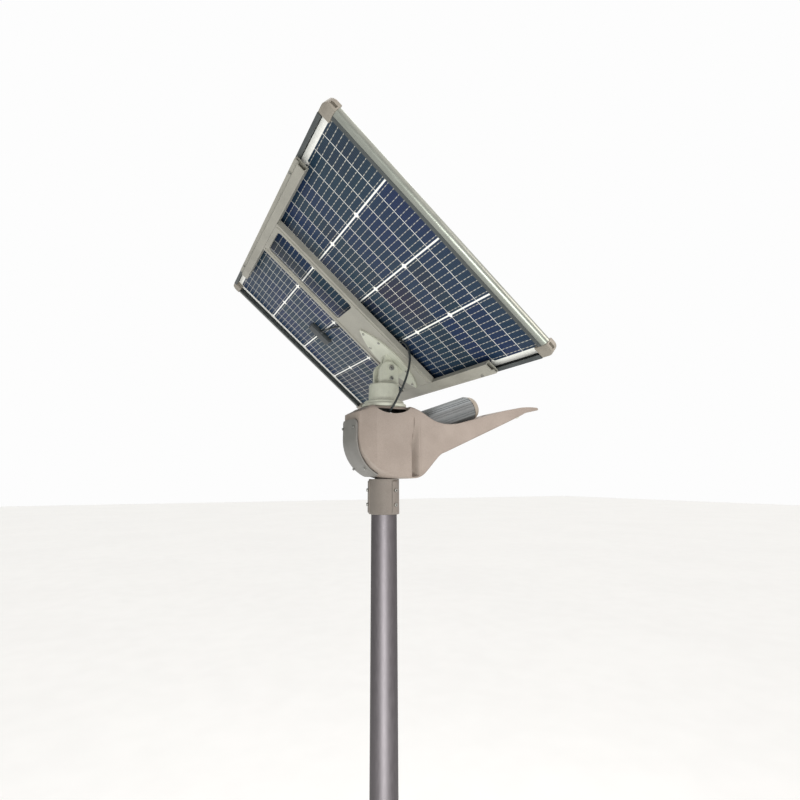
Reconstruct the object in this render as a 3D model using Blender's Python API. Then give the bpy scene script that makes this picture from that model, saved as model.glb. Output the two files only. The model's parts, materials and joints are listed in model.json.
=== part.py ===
"""Solar street lamp: pole, cast lamp head with its battery in the arm, and a tilting two-sided panel.

Metres, +Z up. The pole stands on the origin, the arm points along +X and the panel tilts about a
pivot that runs along Y. Each sub-part is one object with its own named material.
"""
import math

import bpy
import bmesh
from mathutils import Matrix, Vector

for thing in list(bpy.data.objects):
    bpy.data.objects.remove(thing, do_unlink=True)

# ---------------------------------------------------------------- driving dimensions
gap = 0.0003                    # between faces that touch
thread_gap = 0.0002             # round a threaded shank

pole_r = 0.040                  # 80 mm tube
pole_wall = 0.0035
head_z = 2.605                  # underside of the lamp housing
plate_side, plate_thick = 0.36, 0.016
anchor_offset = 0.135           # anchor bolts, each way from the axis
anchor_r = 0.010
gusset_reach, gusset_rise, gusset_thick = 0.105, 0.130, 0.008

collar_wall, collar_height = 0.0080, 0.106
collar_lip = 0.012              # shoulder that rests on the pole top
collar_strip = 0.0035           # raised strips that take the set screws
spigot_r = 0.030                # collar spigot inside the housing floor
set_screw_r = 0.003
collar_r = pole_r + collar_wall

wall = 0.005                    # cast housing
rear_reach, rear_drop = 0.1195, 0.125   # half axes of the quarter ellipse behind and below the body
body_half_width, roof_z = 0.068, 0.2255
arm_start = (0.181, 0.077)      # where the flat underside of the arm begins, x and height
arm_slope = math.radians(22.37)

lens_from, lens_length, lens_width, lens_thick = 0.055, 0.310, 0.074, 0.004
board_depth = 0.020             # ceiling of the light pocket above the underside
sensor_along = 0.402            # along the underside

pack_start = (0.118, 0.1662)    # rear end of the battery axis, x and height
pack_slope = math.radians(19.5)
pack_r, pack_length, pack_wall = 0.046, 0.224, 0.0075
trough_lead, trough_spare = 0.010, 0.066     # trough before the battery and past its shell

cap_rim, cap_thick = 0.0327, 0.010           # flange of the top cap outside its spigot
swivel_r, swivel_height = 0.040, 0.054
sleeve_roof = 0.0127
sleeve_wall = 0.0110
ear_r, ear_top, ear_thick, ear_gap = 0.034, 0.0215, 0.012, 0.032
ear_back = 0.006                # how far the ears' middle lies behind the pivot
foot_step, foot_height = 0.0140, 0.0095       # stepped ring at the foot of the sleeve
pivot = (0.012, 0.356)          # x and height above the housing underside
pivot_r = 0.005
lock_drop, lock_r = 0.035, 0.004
tilt_back, tilt_down = 25, 8    # degrees the lock slot allows

panel_tilt = math.radians(39.9)
half_short, half_long = 0.394, 0.582
trim_bulge = 0.018              # rounded trim outside the short rails
pivot_off_centre, pivot_to_cells = 0.2285, 0.075
glass_thick, cell_thick = 0.0020, 0.0010
rail_back, rail_front = -0.0215, 0.0046   # rail depth either side of the cells
rail_wall, rail_lip = 0.0018, 0.012
corner_short, corner_long, corner_r = 0.0350, 0.0460, 0.0220
spine_half_width, spine_plate = 0.095, 0.0042
spine_back = 0.035              # rear face of the spine above the pivot
leaf_half_length, leaf_half_width, leaf_thick = 0.140, 0.056, 0.0047
leaf_centre = -0.020
bar_half_length, bar_screw_at = 0.385, 0.326
bar_step, bar_wall = 0.007, 0.003
small_r, small_length, small_bore = 0.0020, 0.0155, 0.0022    # the small socket screws and their holes
lead_r = 0.0035

cap_r = swivel_r + cap_rim
sleeve_r = swivel_r + sleeve_wall
sleeve_height = swivel_height + gap + sleeve_roof

paints = {
    "pole_paint": ((0.055, 0.053, 0.056), 0.30, 0.5),
    "galvanised_steel": ((0.50, 0.50, 0.49), 0.42, 1.0),
    "stainless_steel": ((0.62, 0.62, 0.60), 0.28, 1.0),
    "housing_paint": ((0.43, 0.39, 0.34), 0.45, 0.3),
    "bracket_paint": ((0.40, 0.40, 0.34), 0.48, 0.3),
    "carrier_paint": ((0.34, 0.32, 0.29), 0.50, 0.2),
    "battery_aluminium": ((0.42, 0.42, 0.43), 0.36, 1.0),
    "end_cap_plastic": ((0.50, 0.46, 0.40), 0.45, 0.0),
    "rubber_black": ((0.02, 0.02, 0.02), 0.75, 0.0),
    "frame_grey": ((0.075, 0.082, 0.085), 0.45, 0.4),
    "clear_glass": ((0.80, 0.86, 0.86), 0.05, 0.0),
    "solar_cells": ((0.045, 0.062, 0.120), 0.25, 0.2),
    "lens_clear": ((0.86, 0.88, 0.90), 0.10, 0.0),
    "led_board": ((0.80, 0.80, 0.76), 0.50, 0.0),
    "cell_wrap": ((0.06, 0.17, 0.42), 0.45, 0.0),
    "box_plastic": ((0.09, 0.10, 0.105), 0.55, 0.0),
    "sensor_white": ((0.72, 0.72, 0.70), 0.40, 0.0),
    "lead_jacket": ((0.012, 0.016, 0.018), 0.55, 0.0),
}


# ---------------------------------------------------------------- helpers
def material(name):
    """The Principled material of this name, made the first time it is asked for."""
    found = bpy.data.materials.get(name)
    if found:
        return found
    colour, rough, metal = paints[name]
    made = bpy.data.materials.new(name)
    made.use_nodes = True
    shader = made.node_tree.nodes["Principled BSDF"]
    shader.inputs["Base Color"].default_value = (*colour, 1.0)
    shader.inputs["Roughness"].default_value = rough
    shader.inputs["Metallic"].default_value = metal
    made.diffuse_color = (*colour, 1.0)
    return made


def add_object(name, bm, paint, holder=None, at=(0, 0, 0), smooth=False):
    """Turn a bmesh into a named object, held by an empty if one is given."""
    bmesh.ops.recalc_face_normals(bm, faces=bm.faces)
    mesh = bpy.data.meshes.new(name)
    bm.to_mesh(mesh)
    bm.free()
    piece = bpy.data.objects.new(name, mesh)
    bpy.context.scene.collection.objects.link(piece)
    piece.parent = holder
    piece.location = at
    if paint:
        mesh.materials.append(material(paint))
    if smooth:
        mesh.shade_smooth()
        mesh.set_sharp_from_angle(angle=math.radians(32))
    return piece


def prism(name, outline, low, high, axis, paint, holder=None, at=(0, 0, 0), smooth=False):
    """Extrude an outline along an axis. Outline points are the other two axes in x, y, z order."""
    place = {"z": lambda a, b, c: (a, b, c),
             "y": lambda a, b, c: (a, c, b),
             "x": lambda a, b, c: (c, a, b)}[axis]
    bm = bmesh.new()
    ends = [[bm.verts.new(place(a, b, level)) for a, b in outline] for level in (low, high)]
    bm.faces.new(ends[0])
    bm.faces.new(ends[1])
    count = len(outline)
    for i in range(count):
        j = (i + 1) % count
        bm.faces.new((ends[0][i], ends[0][j], ends[1][j], ends[1][i]))
    return add_object(name, bm, paint, holder, at, smooth)


def turned(name, profile, paint, holder=None, at=(0, 0, 0), ring=False, sides=36, turn=(0, 0, 0), hexes=()):
    """Turn a profile of (radius, height) about Z; ring joins its ends; hexes lists six-sided points."""
    bm = bmesh.new()
    rows = []
    for index, (radius, height) in enumerate(profile):
        if radius == 0:
            rows.append([bm.verts.new((0, 0, height))])
            continue
        row = []
        for i in range(sides):
            angle = math.tau * i / sides
            reach = radius
            if index in hexes:
                reach = radius / math.cos((angle % (math.pi / 3)) - math.pi / 6)
            row.append(bm.verts.new((reach * math.cos(angle), reach * math.sin(angle), height)))
        rows.append(row)
    for a, b in zip(rows, rows[1:] + rows[:1] if ring else rows[1:]):
        for i in range(sides):
            j = (i + 1) % sides
            corners = [a[i % len(a)], a[j % len(a)], b[j % len(b)], b[i % len(b)]]
            corners = list(dict.fromkeys(corners))
            if len(corners) > 2:
                bm.faces.new(corners)
    piece = add_object(name, bm, paint, holder, at, smooth=True)
    piece.rotation_euler = turn
    return piece


def combine(piece, other, operation="DIFFERENCE"):
    """Cut, or add, another solid with an exact Boolean, and hide that solid."""
    step = piece.modifiers.new(other.name, "BOOLEAN")
    step.object = other
    step.operation = operation
    step.solver = "EXACT"
    other.hide_render = True
    other.display_type = "WIRE"
    return piece


def arc(centre, radius, start, stop, steps):
    """Points on an arc, angles in degrees."""
    turns = [math.radians(start + (stop - start) * i / steps) for i in range(steps + 1)]
    return [(centre[0] + radius * math.cos(a), centre[1] + radius * math.sin(a)) for a in turns]


def rounded(low, high, radius, steps=5):
    """A rectangle from its low corner to its high corner, with rounded corners."""
    (x0, y0), (x1, y1) = low, high
    centres = ((x1 - radius, y0 + radius, -90), (x1 - radius, y1 - radius, 0),
               (x0 + radius, y1 - radius, 90), (x0 + radius, y0 + radius, 180))
    return [p for x, y, a in centres for p in arc((x, y), radius, a, a + 90, steps)]


def rectangle(low, high):
    (x0, y0), (x1, y1) = low, high
    return [(x0, y0), (x1, y0), (x1, y1), (x0, y1)]


def empty(name, at, turn=(0, 0, 0), holder=None):
    piece = bpy.data.objects.new(name, None)
    bpy.context.scene.collection.objects.link(piece)
    piece.location = at
    piece.rotation_euler = turn
    piece.parent = holder
    return piece


def socket_screw(name, shank_r, shank_length, head_r, head_height, paint, holder, at, turn):
    """A socket-head screw: shank down from the origin, head above it with a hexagon recess."""
    recess = head_r * 0.48
    profile = [(0, -shank_length), (shank_r * 0.8, -shank_length), (shank_r, -shank_length + shank_r * 0.25),
               (shank_r, 0), (head_r, 0), (head_r, head_height * 0.85), (head_r * 0.88, head_height),
               (recess, head_height), (recess, head_height * 0.35), (0, head_height * 0.35)]
    return turned(name, profile, paint, holder, at, sides=12, turn=turn, hexes=(7, 8))


def loft(name, stations, steps=5):
    """A skin along X through rounded sections: (x, bottom, top, half width, lower radius, upper radius)."""
    bm = bmesh.new()
    rows = []
    for x, bottom, top, half, low_r, top_r in stations:
        section = [p for y, z, radius, start in ((half - low_r, bottom + low_r, low_r, -90),
                                                 (half - top_r, top - top_r, top_r, 0),
                                                 (top_r - half, top - top_r, top_r, 90),
                                                 (low_r - half, bottom + low_r, low_r, 180))
                   for p in arc((y, z), radius, start, start + 90, steps)]
        rows.append([bm.verts.new((x, y, z)) for y, z in section])
    for a, b in zip(rows, rows[1:]):
        for i in range(len(a)):
            j = (i + 1) % len(a)
            bm.faces.new((a[i], a[j], b[j], b[i]))
    bm.faces.new(rows[0])
    bm.faces.new(rows[-1])
    return add_object(name, bm, None, None, (0, 0, head_z), smooth=True)


RIGHT, HALF = math.radians(90), math.pi

# ---------------------------------------------------------------- pole and foot
base_plate = prism("base_plate", rounded((-plate_side / 2,) * 2, (plate_side / 2,) * 2, 0.025), 0,
                   plate_thick,
                   "z", "pole_paint")
for index in range(4):
    turn = index * RIGHT
    inner = pole_r + gap
    web = prism(f"gusset_web_{index}",
                [(inner, plate_thick - 0.002), (inner + gusset_reach, plate_thick - 0.002),
                 (inner + gusset_reach, plate_thick + 0.015), (inner + 0.012, plate_thick + gusset_rise),
                 (inner, plate_thick + gusset_rise)],
                -gusset_thick / 2, gusset_thick / 2, "y", None)
    web.rotation_euler = (0, 0, turn)
    combine(base_plate, web, "UNION")
for index, (a, b) in enumerate(((1, 1), (-1, 1), (-1, -1), (1, -1))):
    spot = (a * anchor_offset, b * anchor_offset)
    hole = turned(f"anchor_hole_{index}",
                  [(0, -0.01), (anchor_r + 0.001, -0.01), (anchor_r + 0.001, plate_thick + 0.014),
                   (0, plate_thick + 0.014)], None, at=(*spot, 0))
    combine(base_plate, hole)
    nut_low = plate_thick + gap
    turned(f"anchor_bolt_{index + 1}",
           [(0, 0.001), (anchor_r, 0.001), (anchor_r, nut_low), (0.0185, nut_low), (0.0185, nut_low + 0.003),
            (0.015, nut_low + 0.003), (0.015, nut_low + 0.019), (anchor_r, nut_low + 0.019),
            (anchor_r, nut_low + 0.031), (anchor_r - 0.002, nut_low + 0.033), (0, nut_low + 0.033)],
           "galvanised_steel", at=(*spot, 0), sides=24, hexes=(5, 6))

collar_z = head_z - collar_height
pole_low, pole_high = plate_thick + gap, head_z - collar_lip - gap
turned("pole_tube", [(pole_r - pole_wall, pole_low), (pole_r, pole_low), (pole_r, pole_high),
                     (pole_r - pole_wall, pole_high)], "pole_paint", ring=True, sides=48)

# ---------------------------------------------------------------- collar
collar = turned("pole_collar",
                [(pole_r + gap, collar_z), (collar_r - 0.0015, collar_z), (collar_r, collar_z + 0.0015),
                 (collar_r, head_z - gap), (spigot_r, head_z - gap), (spigot_r, head_z + 0.014),
                 (0.020, head_z + 0.014), (0.020, head_z - collar_lip), (pole_r + gap, head_z - collar_lip)],
                "housing_paint", ring=True, sides=48)
strip_out = collar_r + collar_strip
strip_turns = (math.radians(168), math.radians(-72))
for index, turn in enumerate(strip_turns):
    band = prism(f"collar_strip_{index}", rounded((-0.0095, collar_z + 0.004), (0.0095, head_z - 0.006),
                                                  0.004),
                  collar_r - 0.005, strip_out, "x", None)
    band.rotation_euler = (0, 0, turn)
    combine(collar, band, "UNION")
for index, turn in enumerate(strip_turns):
    for level in range(2):
        height = head_z - 0.034 - level * 0.043
        spot = (strip_out * math.cos(turn), strip_out * math.sin(turn), height)
        bore = turned(f"collar_bore_{index}_{level}",
                      [(0, -0.02), (set_screw_r + thread_gap, -0.02), (set_screw_r + thread_gap, 0.01),
                       (0, 0.01)],
                      None, at=spot, sides=16, turn=(0, RIGHT, turn))
        combine(collar, bore)
        lift = strip_out + gap
        socket_screw(f"collar_screw_{index * 2 + level + 1}", set_screw_r, strip_out - pole_r - gap, 0.0052,
                     0.0042,
                     "stainless_steel", None, (lift * math.cos(turn), lift * math.sin(turn), height),
                     (0, RIGHT, turn))

# ---------------------------------------------------------------- lamp housing
def rear_line(offset, top, stop, steps=12, start=0):
    """The rear profile seen from the side, moved out by an offset: straight down, then a quarter ellipse."""
    line = [(-rear_reach - offset, top)] if top else []
    for i in range(steps + 1):
        t = math.radians(start + (stop - start) * i / steps)
        out = Vector((math.cos(t) / rear_reach, math.sin(t) / rear_drop)).normalized() * offset
        line.append((-rear_reach * math.cos(t) - out.x, rear_drop * (1 - math.sin(t)) - out.y))
    return line


def strip(name, inner, outer, half, top, stop, paint, start=0):
    """A band that follows the rear profile between two offsets."""
    outline = rear_line(outer, top, stop, start=start) + rear_line(inner, top, stop, start=start)[::-1]
    return prism(name, outline, -half, half, "y", paint, at=(0, 0, head_z))


arm_half = max(pack_r, lens_width / 2 + 0.009)      # the arm is as wide as the wider thing it holds


def trough_floor(x):
    """Height of the underside of the battery trough, above the housing underside."""
    return (pack_start[1] + (x - pack_start[0]) * math.tan(pack_slope)
            - (pack_r + gap) / math.cos(pack_slope) - wall)


# the rear tops and half widths, one for each step of the quarter ellipse
rear_tops = (0.2030, 0.2040, 0.2055, 0.2080, 0.2140, 0.2225, roof_z, roof_z, roof_z, roof_z)
rear_halves = (0.0580, 0.0615, 0.0640, 0.0655, 0.0662, 0.0670, 0.0676, body_half_width, body_half_width,
               body_half_width)
rear_stations = [(x, max(z, 0), top, half, 0.018, 0.007)
                 for (x, z), top, half in zip(rear_line(0, 0, 90, 9), rear_tops, rear_halves)]
housing = loft("lamp_housing", rear_stations + [
    (0.040, 0.000, roof_z, body_half_width, 0.018, 0.007),
    (0.072, 0.001, 0.2245, 0.0675, 0.018, 0.007),
    (0.092, 0.004, 0.2180, 0.0665, 0.018, 0.007),
    (0.112, 0.014, 0.2090, arm_half + 0.0190, 0.018, 0.007),
    (0.135, 0.035, 0.1965, arm_half + 0.0170, 0.017, 0.007),
    (0.158, 0.0575, 0.1860, arm_half + 0.0150, 0.016, 0.007),
    (arm_start[0], arm_start[1], 0.1805, arm_half + 0.0130, 0.015, 0.007),
    (0.205, 0.0869, 0.1780, arm_half + 0.0115, 0.014, 0.007),
    (0.235, 0.0992, 0.1795, arm_half + 0.0100, 0.013, 0.007),
    (0.321, 0.1346, 0.1995, arm_half + 0.0075, 0.012, 0.006),
    (0.443, 0.1848, 0.2330, arm_half + 0.0030, 0.010, 0.006),
    (0.510, 0.2124, 0.2480, arm_half - 0.0015, 0.009, 0.006),
    (0.551, 0.2293, 0.2565, 0.0390, 0.008, 0.006),
    (0.571, 0.2375, 0.2590, 0.0345, 0.007, 0.005),
    (0.600, 0.2440, 0.2620, 0.0265, 0.006, 0.005),
    (0.630, 0.2505, 0.2638, 0.0170, 0.005, 0.004),
    (0.650, 0.2545, 0.2634, 0.0100, 0.003, 0.003),
    (0.656, 0.2568, 0.2612, 0.0060, 0.0015, 0.0015),
])
housing.data.materials.append(material("housing_paint"))
hollow_line = rear_line(-wall, 0, 90, 6)
cavity = loft("housing_hollow", [(x, z, top, half, 0.012, 0.006) for (x, z), top, half in zip(
    hollow_line, (0.196, 0.197, 0.201, 0.213, roof_z - 0.007, roof_z - 0.007, roof_z - 0.007),
    (0.0540, 0.0580, 0.0605, 0.0620, 0.0630, 0.0630, 0.0630))] + [
    (0.040, wall, roof_z - 0.007, body_half_width - wall, 0.012, 0.006),
    (0.085, 0.009, 0.205, 0.0610, 0.012, 0.006),
    (0.106, 0.018, 0.150, 0.0590, 0.011, 0.006),
    (0.130, 0.038, trough_floor(0.130), 0.0560, 0.010, 0.006),
    (0.160, 0.067, trough_floor(0.160), 0.0540, 0.009, 0.006),
    (0.240, 0.130, trough_floor(0.240), 0.0500, 0.007, 0.005),
    (0.360, 0.179, trough_floor(0.360), 0.0460, 0.006, 0.004),
    (0.420, 0.204, 0.2190, 0.0430, 0.005, 0.004),
    (0.480, 0.2285, 0.2375, 0.0390, 0.003, 0.003),
])
combine(housing, cavity)
combine(housing, turned("spigot_hole", [(0, -0.02), (spigot_r + gap, -0.02), (spigot_r + gap, 0.02),
                                        (0, 0.02)],
                        None, at=(0, 0, head_z)))
for side in (-1, 1):    # mouths under the flange, where the panel lead goes in
    low, high = sorted((side * 0.047, side * 0.09))
    mouth = prism("mouth_near" if side < 0 else "mouth_far",
                  [(0.001 + 0.062 * math.cos(math.tau * i / 30),
                    roof_z + 0.001 + 0.0255 * math.sin(math.tau * i / 30))
                   for i in range(30)], low, high, "y", None, at=(0, 0, head_z))
    combine(housing, mouth)

# curved rear cover on its gasket, over the service opening
cover_half, cover_top, cover_stop = 0.052, 0.180, 66
gasket_to, cover_to = 0.0018, 0.0058
spare = 0.004                                       # trimmed off by the rounded outline
combine(housing, strip("rear_opening", -0.016, 0.010, 0.036, 0.160, 42, None))
gasket = strip("rear_gasket", gap, gasket_to, cover_half + spare, cover_top + spare, cover_stop,
               "rubber_black")
cover = strip("rear_cover", gasket_to + gap, cover_to, cover_half + spare, cover_top + spare, cover_stop,
              "housing_paint")
for body in (gasket, cover):
    outline = [(-cover_half, -0.02), (cover_half, -0.02)]
    outline += arc((cover_half - 0.014, cover_top - 0.014), 0.014, 0, 90, 6)
    outline += arc((0.014 - cover_half, cover_top - 0.014), 0.014, 90, 180, 6)
    combine(body, prism(f"{body.name}_corners", outline, -0.3, 0.02, "x", None, at=(0, 0, head_z)),
            "INTERSECT")
combine(gasket, strip("gasket_window", -0.004, 0.010, 0.038, 0.162, 41, None))
lower_screw_at = math.radians(46.5)
screw_rows = ((-rear_reach, 0.155, 0.0), (-rear_reach * math.cos(lower_screw_at),
                                          rear_drop * (1 - math.sin(lower_screw_at)), lower_screw_at))
for row, (x, z, t) in enumerate(screw_rows):
    out = Vector((-math.cos(t) / rear_reach, 0, -math.sin(t) / rear_drop)).normalized()
    turn = (0, math.atan2(out.x, out.z), 0)
    for column, across in enumerate((-0.044, 0.044)):
        seat = Vector((x, across, z + head_z)) + out * (cover_to + (gap if row == 0 else 0.0006))
        for body in (gasket, cover, housing):
            combine(body, turned(f"rear_bore_{row}_{column}_{body.name}",
                                 [(0, -0.020), (small_bore, -0.020), (small_bore, 0.010), (0, 0.010)],
                                 None, at=seat, sides=16,
                                 turn=turn))
        socket_screw(f"rear_cover_screw_{row * 2 + column + 1}", small_r, small_length, 0.0040, 0.0028,
                     "stainless_steel",
                     None, seat, turn)
prism("charge_controller", rounded((-0.030, 0.072), (0.030, 0.150), 0.004), -rear_reach + 0.020,
      -rear_reach + 0.050,
      "x", "box_plastic", at=(0, 0, head_z))

# ---------------------------------------------------------------- light engine under the arm
arm = empty("arm_underside", (arm_start[0], 0, head_z + arm_start[1]), (0, -arm_slope, 0))
lens_to = lens_from + lens_length
combine(housing, prism("light_pocket", rounded((lens_from + 0.007, -0.033), (lens_to - 0.007, 0.033), 0.006),
                       -0.01, board_depth, "z", None, arm))
combine(housing, prism("lens_rebate", rounded((lens_from, -lens_width / 2), (lens_to, lens_width / 2), 0.010),
                       -0.02, lens_thick + 2 * gap, "z", None, arm))
prism("led_lens", rounded((lens_from + gap, -lens_width / 2 + gap), (lens_to - gap, lens_width / 2 - gap),
                          0.0097),
      gap, lens_thick + gap, "z", "lens_clear", arm)
board = prism("led_board", rounded((lens_from + 0.010, -0.030), (lens_to - 0.010, 0.030), 0.004),
              board_depth - gap - 0.0026, board_depth - gap, "z", "led_board", arm)
chips_along, chips_across, chip = 12, 3, 0.0050
for row in range(chips_across):
    for column in range(chips_along):
        x = lens_from + 0.026 + column * (lens_length - 0.052) / (chips_along - 1)
        y = (row - (chips_across - 1) / 2) * 0.018
        low = board_depth - gap - 0.0026
        combine(board, prism(f"led_chip_{row}_{column}", rectangle((x - chip / 2, y - chip / 2),
                                                                   (x + chip / 2, y + chip / 2)),
                             low - 0.0012, low + 0.001, "z", None, arm), "UNION")
sensor_r, sensor_depth = 0.0085, 0.012
combine(housing, turned("sensor_hole", [(0, -0.02), (sensor_r + gap, -0.02),
                                        (sensor_r + gap, sensor_depth + gap),
                                        (0, sensor_depth + gap)], None, arm, (sensor_along, 0, 0)))
turned("motion_sensor",
       [(0, -0.0115), (0.0045, -0.0105), (0.0082, -0.0078), (0.0102, -0.0040), (0.0128, -0.0036),
        (0.0132, -0.0020),
        (0.0132, -gap), (sensor_r, -gap), (sensor_r, sensor_depth), (0, sensor_depth)],
       "sensor_white", arm, (sensor_along, 0, 0))

# ---------------------------------------------------------------- battery pack in the arm trough
pack = empty("pack_axis", (pack_start[0], 0, head_z + pack_start[1]), (0, -pack_slope, 0))
combine(housing, prism("pack_trough", arc((0, 0), pack_r + gap, 180, 360, 32)
                       + [(pack_r + gap, pack_r + 0.03), (-pack_r - gap, pack_r + 0.03)],
                       -trough_lead, pack_length + trough_spare, "x", None, pack))
facets, groove = 12, 0.0016
shell_outline = []
for facet in range(facets):
    start = 360 / facets * facet
    flat = pack_r * math.cos(math.pi / facets)
    for share, depth in ((0.0, 0), (0.28, 0), (0.30, 1), (0.36, 1), (0.38, 0), (0.62, 0), (0.64, 1),
                         (0.70, 1),
                         (0.72, 0)):
        angle = math.radians(start + share * 360 / facets)
        off_mid = math.radians((share - 0.5) * 360 / facets)
        reach = flat / math.cos(off_mid) - depth * groove
        shell_outline.append((reach * math.cos(angle), reach * math.sin(angle)))
bore_r = pack_r - pack_wall
shell = prism("battery_shell", shell_outline, 0, pack_length, "x", "battery_aluminium", pack)
combine(shell, turned("shell_bore", [(0, -0.01), (bore_r, -0.01), (bore_r, pack_length + 0.01),
                                     (0, pack_length + 0.01)],
                      None, pack, turn=(0, RIGHT, 0)))
lid_r = pack_r - 0.0025
turned("battery_cap_rear", [(0, -gap), (lid_r - 0.001, -gap), (lid_r, -0.0015), (lid_r, -0.0055),
                            (lid_r - 0.0015, -0.0070), (0, -0.0070)], "end_cap_plastic", pack,
                            turn=(0, RIGHT, 0))
seal_r = pack_r - 0.0020
turned("battery_gasket", [(bore_r - 0.0015, pack_length + gap), (seal_r, pack_length + gap),
                          (seal_r, pack_length + 0.0025), (bore_r - 0.0015, pack_length + 0.0025)],
       "rubber_black", pack, turn=(0, RIGHT, 0), ring=True)
dome_from = pack_length + 0.0025 + gap
dome_r, dome_length = pack_r - 0.0050, 0.034
dome = [(dome_r * math.cos(a), dome_from + 0.006 + (dome_length - 0.006) * math.sin(a))
        for a in (math.radians(angle) for angle in range(0, 90, 12))]
turned("battery_cap_front", [(0, dome_from), (dome_r - 0.001, dome_from), (dome_r, dome_from + 0.001), *dome,
                             (0, dome_from + dome_length)],
       "end_cap_plastic", pack, turn=(0, RIGHT, 0))
bundle_r, bundle_lobe = bore_r - 0.010, 0.008
prism("battery_cells", [((bundle_r + bundle_lobe * abs(math.cos(3 * a))) * math.cos(a),
                         (bundle_r + bundle_lobe * abs(math.cos(3 * a))) * math.sin(a))
                        for a in (math.tau * i / 60 for i in range(60))], 0.008, pack_length - 0.012, "x",
      "cell_wrap", pack)

# ---------------------------------------------------------------- top cap, swivel and clevis
cap_low = roof_z + gap
cap_high = cap_low + cap_thick
turned("top_cap", [(0.012, cap_low), (cap_r - 0.002, cap_low), (cap_r, cap_low + 0.002),
                   (cap_r, cap_high - 0.002),
                   (cap_r - 0.002, cap_high), (swivel_r, cap_high), (swivel_r, cap_high + swivel_height),
                   (0.012, cap_high + swivel_height)], "bracket_paint", at=(0, 0, head_z), ring=True,
                   sides=48)
swivel_axis = empty("swivel_axis", (0, 0, head_z + cap_high))
sleeve_top = gap + sleeve_height
foot_r = sleeve_r + foot_step
clevis = turned("swivel_clevis",
                [(swivel_r + gap, gap), (foot_r - 0.0005, gap), (foot_r, gap + 0.001),
                 (foot_r, gap + foot_height - 0.002), (foot_r - 0.002, gap + foot_height),
                 (sleeve_r, gap + foot_height + 0.002), (sleeve_r - 0.0015, sleeve_top - 0.003),
                 (sleeve_r - 0.0045, sleeve_top),
                 (0, sleeve_top), (0, swivel_height + 2 * gap), (swivel_r + gap, swivel_height + 2 * gap)],
                "bracket_paint", swivel_axis, ring=True, sides=48)
pivot_x, pivot_up = pivot[0], pivot[1] - cap_high     # in the swivel's own frame
ear_x, ear_low = pivot_x - ear_back, sleeve_top - 0.009
for side, title in ((-1, "near"), (1, "far")):
    ear = prism(f"ear_{title}", arc((ear_x, pivot_up + ear_top - ear_r), ear_r, 0, 180, 20)
                + [(ear_x - ear_r, ear_low), (ear_x + ear_r, ear_low)],
                *sorted((side * ear_gap / 2, side * (ear_gap / 2 + ear_thick))), "y", None, swivel_axis)
    combine(clevis, ear, "UNION")
ear_face = ear_gap / 2 + ear_thick
pad_out = ear_face + 0.002
pad = prism("ear_pad", arc((pivot_x, pivot_up), 0.0125, 0, 180, 12)
            + arc((pivot_x, pivot_up - lock_drop), 0.0105, 180, 360, 12), -pad_out, -ear_face + 0.003, "y",
            None,
            swivel_axis)
combine(clevis, pad, "UNION")
for title, drop, radius in (("pivot", 0, pivot_r), ("lock", lock_drop, lock_r)):
    reach = ear_gap + ear_thick + 0.02
    combine(clevis, turned(f"{title}_bore", [(0, -reach), (radius + thread_gap, -reach),
                                             (radius + thread_gap, reach),
                                             (0, reach)], None, swivel_axis, (pivot_x, 0, pivot_up - drop),
                                             sides=32,
                           turn=(RIGHT, 0, 0)))
# turned about X by a right angle, a screw's head points to -Y
socket_screw("pivot_bolt", pivot_r, pad_out + ear_face + 0.013, 0.0085, 0.0075, "stainless_steel",
             swivel_axis,
             (pivot_x, -pad_out - gap, pivot_up), (RIGHT, 0, 0))
nut_from = ear_face + gap
turned("pivot_nut", [(pivot_r + thread_gap, nut_from), (0.0085, nut_from), (0.0085, nut_from + 0.008),
                     (pivot_r + thread_gap, nut_from + 0.008)], "stainless_steel", swivel_axis,
       (pivot_x, 0, pivot_up), ring=True, sides=24, turn=(-RIGHT, 0, 0), hexes=(1, 2))
socket_screw("lock_bolt", lock_r, pad_out + ear_face, 0.0066, 0.0060, "stainless_steel", swivel_axis,
             (pivot_x, -pad_out - gap, pivot_up - lock_drop), (RIGHT, 0, 0))
set_z = 0.030
combine(clevis, turned("swivel_set_bore", [(0, swivel_r - 0.01), (set_screw_r + thread_gap, swivel_r - 0.01),
                                            (set_screw_r + thread_gap, sleeve_r + 0.02),
                                            (0, sleeve_r + 0.02)],
                        None, swivel_axis, (0, 0, set_z), sides=24, turn=(0, RIGHT, 0)))
socket_screw("swivel_set_screw", set_screw_r, sleeve_r - swivel_r + gap, 0.0048, 0.0038, "stainless_steel",
             swivel_axis, (sleeve_r + 2 * gap, 0, set_z), (0, RIGHT, 0))

# ---------------------------------------------------------------- panel carrier, in the panel's own frame
# x runs down the panel's slope, y is the tilt axis and z points to the front; the origin is the pivot
panel = empty("tilt_axis", (pivot_x, 0, pivot_up), (0, panel_tilt, 0), swivel_axis)
mid = -pivot_off_centre         # panel centre along x
cells_z = pivot_to_cells
lug_half = ear_gap / 2 - 0.0007
leaf_low = spine_back - gap - leaf_thick

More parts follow.
